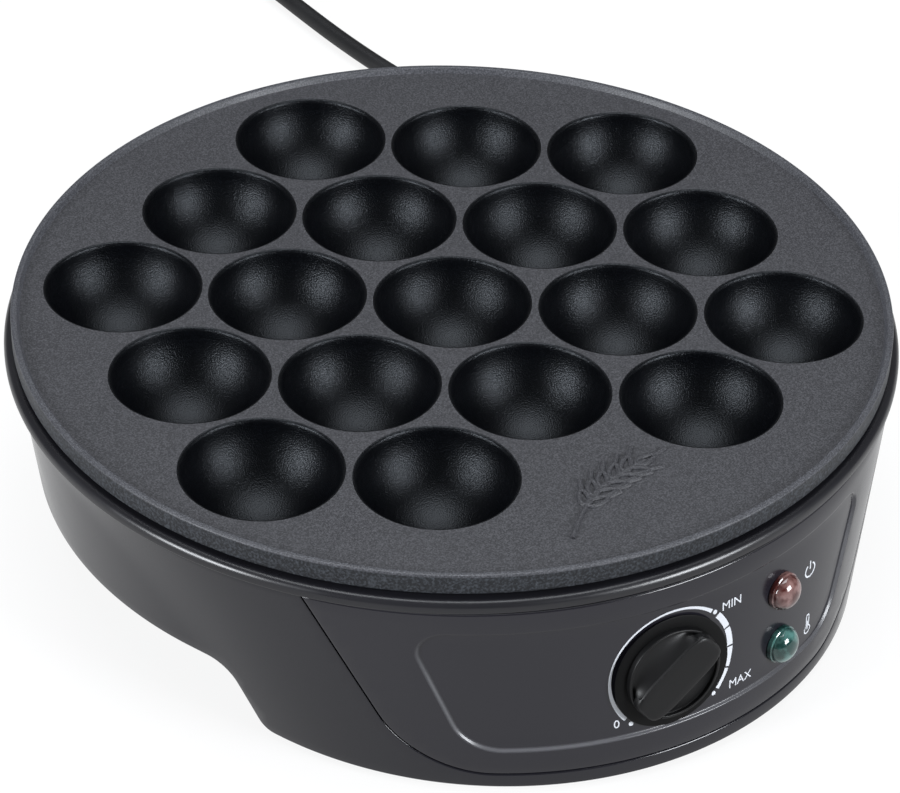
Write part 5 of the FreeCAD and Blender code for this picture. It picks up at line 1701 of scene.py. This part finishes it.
@dataclass
class Cord:
    """The mains cord: a boot at the wall, the flex over the table, a tied coil and a plug."""

    axis: Vector
    dia: float = 5.4 * MM
    exit_height: float = 11.0 * MM
    azimuth: float = 150.0
    seat: float = 109.358 * MM
    boot: float = 32.0 * MM
    boot_overlap: float = 10.0 * MM
    boot_dia: float = 11.0 * MM
    boot_bore: float = 0.1 * MM
    boot_wall: float = 0.9 * MM
    boot_sunk: float = 9.0 * MM
    boot_end: Point2 = (0.2 * MM, 1.2 * MM)
    boot_neck: float = 1.0 * MM
    boot_root: float = 0.6 * MM
    flange_out: float = 1.5 * MM
    flange_thick: Point2 = (2.2 * MM, 3.2 * MM)
    flange_round: float = 0.7 * MM
    boot_ribs: int = 6
    rib_start: float = 4.2 * MM
    rib_room: float = 6.0 * MM
    rib_depth: float = 0.7 * MM
    rib_taper: float = 0.1 * MM
    straight: float = 8.0 * MM
    coil_mid_dia: float = 60.0 * MM
    coil_space: float = 1.1 * MM
    coil_turns: float = 1.75
    climb: float = 0.5
    tie: float = 0.7 * MM
    lift: float = 0.3 * MM
    steps: int = 16
    plug_tall: float = 15.0 * MM
    plug_width: float = 24.0 * MM
    plug_length: float = 30.0 * MM
    plug_neck: float = 22.0 * MM
    plug_stations: tuple[tuple[float, float, float], ...] = (
        (0.0, 0.12, 0.28), (0.5, 0.30, 0.48), (0.62, 0.62, 0.72), (0.70, 0.80, 0.86), (0.80, 0.98, 0.98),
        (0.86, 0.98, 0.98), (0.88, 0.93, 0.92), (0.94, 0.93, 0.92), (0.96, 0.98, 0.98), (0.99, 0.97, 0.97),
        (1.0, 0.92, 0.92))
    crease: float = 35.0
    length: float = 0.956
    route: tuple[tuple[float, float, float], ...] = (
        (83.2, 147.0, 8.4), (85.8, 165.0, 5.0), (82.7, 182.5, 3.75), (77.9, 200.0, 3.65), (74.0, 218.0, 3.65),
        (70.9, 236.5, 3.65), (68.2, 255.5, 3.65), (64.7, 274.5, 3.65), (62.2, 292.0, 3.65))

    def __post_init__(self) -> None:
        """Works out where and in which direction the cord leaves the wall."""
        self.out = bearing(self.azimuth)
        self.wall_seat = self.axis + self.out * self.seat + UP * self.exit_height
        self.start = self.wall_seat + self.out * (self.boot - self.boot_overlap)

    def coil_points(self, last: Vector, ahead: Vector) -> list[Vector]:
        """The coil's turns: in along the table, up a layer where they reverse, and out above.

        Args:
            last: where the flex meets the coil.
            ahead: its direction there.

        Returns:
            Points to the end of the outermost turn, with three more towards the plug.
        """
        step = self.dia + self.coil_space
        inward, climb = self.coil_turns, self.climb
        outer = self.coil_mid_dia / 2 + step * inward / 2
        low = self.dia / 2 + self.tie + self.lift
        side = Vector((-ahead.y, ahead.x, 0.0))
        entry = last + ahead * (self.dia * 1.05)
        centre = entry - side * outer
        spread = 1 / math.cos(math.pi / self.steps) ** 2
        points = [entry]
        way = ahead
        for index in range(1, round((2 * inward + climb) * self.steps) + 1):
            turns = index / self.steps
            past = min(max((turns - inward) / climb, 0.0), 1.0)
            rise = past * past * (3 - 2 * past)
            if turns <= inward:
                radius = outer - step * turns
            elif past < 1.0:
                radius = outer - step * (inward + past * climb * (1 - past))
            else:
                radius = outer - step * inward + step * (turns - inward - climb)
            angle = FULL_TURN * turns
            radial = side * math.cos(angle) + ahead * math.sin(angle)
            way = ahead * math.cos(angle) - side * math.sin(angle)
            spot = centre + radial * radius * (1 + (spread - 1) * min(1.0, turns * 4))
            points.append(Vector((spot.x, spot.y, low + step * rise)))
        end = points[-1]
        level = self.plug_tall / 2 + self.lift
        for diameters, height in ((2.2, (end.z + level) / 2), (4.5, level), (5.55, level)):
            points.append(Vector((*(end + way * (self.dia * diameters)).xy, height)))
        self.plug_start, self.plug_way = points[-1], way
        return points

    def build_flex(self) -> bpy.types.Object:
        """The cord as one smooth tube from the boot to the plug.

        Returns:
            The piece.
        """
        mouth = self.wall_seat + self.out * (self.boot + self.straight)
        points = [self.start, mouth] + [self.axis + Vector(point) * MM for point in self.route]
        points += self.coil_points(points[-1], (points[-1] - points[-2]).normalized())
        curve = bpy.data.curves.new("flex", "CURVE")
        curve.dimensions = "3D"
        curve.bevel_depth = self.dia / 2
        curve.bevel_resolution = 5
        curve.resolution_u = 8
        curve.use_fill_caps = True
        spline = curve.splines.new("NURBS")
        spline.points.add(len(points) - 1)
        for control, point in zip(spline.points, points):
            control.co = (*point, 1.0)
        spline.order_u = 3
        spline.use_endpoint_u = True
        curve.materials.append(CORD_RUBBER.material())
        return settle(in_scene("flex", curve), "cord_rubber", "mains_cord", "cord_coil")

    def build_boot(self) -> bpy.types.Object:
        """The tapered boot with ribs where the cord leaves the wall.

        Returns:
            The piece.
        """
        wide, bore, thin = self.boot_dia / 2, self.dia / 2 + self.boot_bore, self.dia / 2 + self.boot_wall
        flange, neck, root = wide + self.flange_out, wide - self.boot_neck, wide - self.boot_root
        profile = [(bore, -self.boot_sunk), (neck, -self.boot_sunk), (neck, 0.0)]
        corners = [(flange, 0.0), (flange, self.flange_thick[0]), (root, self.flange_thick[1])]
        profile += fillet_run(corners, [0, self.flange_round, 0], False, 4)
        pitch = (self.boot - self.rib_room) / self.boot_ribs
        for rib in range(self.boot_ribs):
            low = self.rib_start + pitch * rib
            share = rib / self.boot_ribs
            edge = root - (root - thin) * share
            groove = edge - self.rib_depth * (1 - 0.6 * share)
            profile += [(edge, low), (edge - self.rib_taper, low + pitch * 0.55),
                        (groove, low + pitch * 0.62), (groove, low + pitch * 0.92)]
        slim, short = self.boot_end
        profile += [(thin, self.boot - short), (thin - slim, self.boot), (bore, self.boot)]
        place = Matrix.Translation(self.wall_seat) @ UP.rotation_difference(self.out).to_matrix().to_4x4()
        mesh = turned("boot", profile, 56, True, place)
        return finished("boot", mesh, CORD_RUBBER, "cord_rubber", "cord_strain_relief", crease=self.crease)

    def build_plug(self) -> bpy.types.Object:
        """The plug's moulded body with a finger ridge and a slim neck.

        Returns:
            The piece.
        """
        whole = self.plug_neck + self.plug_length
        neck = self.dia + 1.6 * MM
        place = Matrix.Translation(self.plug_start)
        place = place @ Matrix.Rotation(math.atan2(self.plug_way.y, self.plug_way.x), 4, "Z")
        rings = []
        for share, wide_share, tall_share in self.plug_stations:
            wide = max(self.plug_width * wide_share, neck) / 2
            tall = max(self.plug_tall * tall_share, neck) / 2
            power = 2.0 + 3.5 * min(1.0, max(0.0, (share - 0.45) / 0.3))
            rings.append([place @ Vector((share * whole, y, z)) for y, z in oval(wide, tall, power, 40)])
        mesh = weld(lofted("plug_moulding", rings))
        return finished("plug_moulding", mesh, CORD_RUBBER, "cord_rubber", "plug_body", crease=self.crease)

    def build(self) -> None:
        flex = self.build_flex()
        boot = self.build_boot()
        plug = self.build_plug()


@dataclass
class Studio:
    """The floor, the lamps and the camera."""

    axis: Vector
    lens: float = 150.08
    azimuth: float = -27.92
    elevation: float = 36.69
    roll: float = 1.42
    eye: tuple[float, float, float] = (-374.6, -706.8, 629.0)
    surround: float = 0.15
    lamps: tuple[tuple[str, float, float, float, float], ...] = (
        ("left", -85.0, 22.0, 0.48, 21.0), ("right", 29.4, 22.0, 0.48, 21.0),
        ("above", 152.0, 81.0, 1.10, 19.5))
    lamp_far: float = 1.4
    lamp_tone: Colour = (0.93, 0.96, 1.0)
    floor_half: float = 6.0
    floor_tone: Colour = (0.12, 0.12, 0.12)
    floor_seen: float = 0.86
    floor_mirrored: float = 0.62

    def build_camera(self) -> None:
        """Sets the camera at the photograph's angle."""
        turn, roll = math.radians(self.azimuth), math.radians(self.roll)
        back = bearing(self.azimuth, self.elevation)
        level = Vector((math.cos(turn), math.sin(turn), 0.0))
        upward = back.cross(level)
        right = level * math.cos(roll) + upward * math.sin(roll)
        up = upward * math.cos(roll) - level * math.sin(roll)
        data = bpy.data.cameras.new("camera")
        data.lens = self.lens
        data.sensor_width = 36.0
        data.clip_start = 0.05
        data.clip_end = 20.0
        camera = in_scene("camera", data)
        spun = Matrix((right, up, back)).transposed().to_4x4()
        camera.matrix_world = Matrix.Translation(self.axis + Vector(self.eye) * MM) @ spun
        bpy.context.scene.camera = camera

    def build_floor(self) -> None:
        """A pale floor that stays white to the eye and in reflections and keeps a soft shadow."""
        half = self.floor_half
        mesh = raw_mesh("floor", [(-half, -half, 0), (half, -half, 0), (half, half, 0), (-half, half, 0)],
                        [(0, 1, 2, 3)])
        material = bpy.data.materials.new("pale_floor")
        material.use_nodes = True
        tree = material.node_tree
        shader = set_inputs(tree.nodes["Principled BSDF"], {
            "Base Color": (*self.floor_tone, 1.0), "Roughness": 1.0, "Specular IOR Level": 0.0,
            "Emission Color": (1.0, 1.0, 1.0, 1.0)})
        path = add_node(tree, "ShaderNodeLightPath")
        mirrored = add_node(tree, "ShaderNodeMath", operation="MAXIMUM")
        dimmed = add_node(tree, "ShaderNodeMath", {1: self.floor_mirrored}, operation="MULTIPLY")
        glow = add_node(tree, "ShaderNodeMath", {1: self.floor_seen}, operation="MULTIPLY_ADD")
        wire(tree, (path, "Is Glossy Ray", mirrored, 0), (path, "Is Transmission Ray", mirrored, 1),
             (mirrored, 0, dimmed, 0), (path, "Is Camera Ray", glow, 0), (dimmed, 0, glow, 2),
             (glow, 0, shader, "Emission Strength"))
        mesh.materials.append(material)
        in_scene("floor", mesh)

    def build_lights(self) -> None:
        """Soft lamps to the left, the right and above, and a dim even surround."""
        for name, azimuth, elevation, size, power in self.lamps:
            data = bpy.data.lights.new(f"lamp_{name}", "AREA")
            data.size = size
            data.energy = power
            data.color = self.lamp_tone
            back = bearing(azimuth, elevation)
            spin = (-back).to_track_quat("-Z", "Y").to_matrix().to_4x4()
            lamp = in_scene(f"lamp_{name}", data)
            lamp.matrix_world = Matrix.Translation(self.axis + back * self.lamp_far) @ spin
        world = bpy.data.worlds.new("surround")
        world.use_nodes = True
        tree = world.node_tree
        shade = set_inputs(tree.nodes["Background"], {"Color": (1.0, 1.0, 1.0, 1.0)})
        path = add_node(tree, "ShaderNodeLightPath")
        levels = {1: 1.0 - self.surround, 2: self.surround}
        level = add_node(tree, "ShaderNodeMath", levels, operation="MULTIPLY_ADD")
        wire(tree, (path, "Is Camera Ray", level, 0), (level, 0, shade, "Strength"))
        bpy.context.scene.world = world
        bpy.context.scene.view_settings.view_transform = "Standard"

    def build(self) -> None:
        """Builds the studio."""
        self.build_camera()
        self.build_floor()
        self.build_lights()


def dress_frame_nodes() -> None:
    """Gives every frame node the finish of its material slot."""
    for entry in frame["record"]["subparts"]:
        item = frame["nodes"][entry["node"]]
        material = SLOT_FINISHES[entry["material_slot"]].material()
        if item.material_slots:
            item.material_slots[0].material = material
        else:
            item.data.materials.append(material)


def main() -> None:
    """Builds the object and its studio."""
    logging.basicConfig(level=logging.INFO, format="%(name)s: %(message)s")
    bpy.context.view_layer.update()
    dress_frame_nodes()
    plate = Plate()
    Studio(plate.axis).build()
    Cord(plate.axis).build()
    plate.build()
    housing = Housing(plate.axis)
    housing.build()
    Controls(housing).build()


if __name__ == "__main__":
    main()
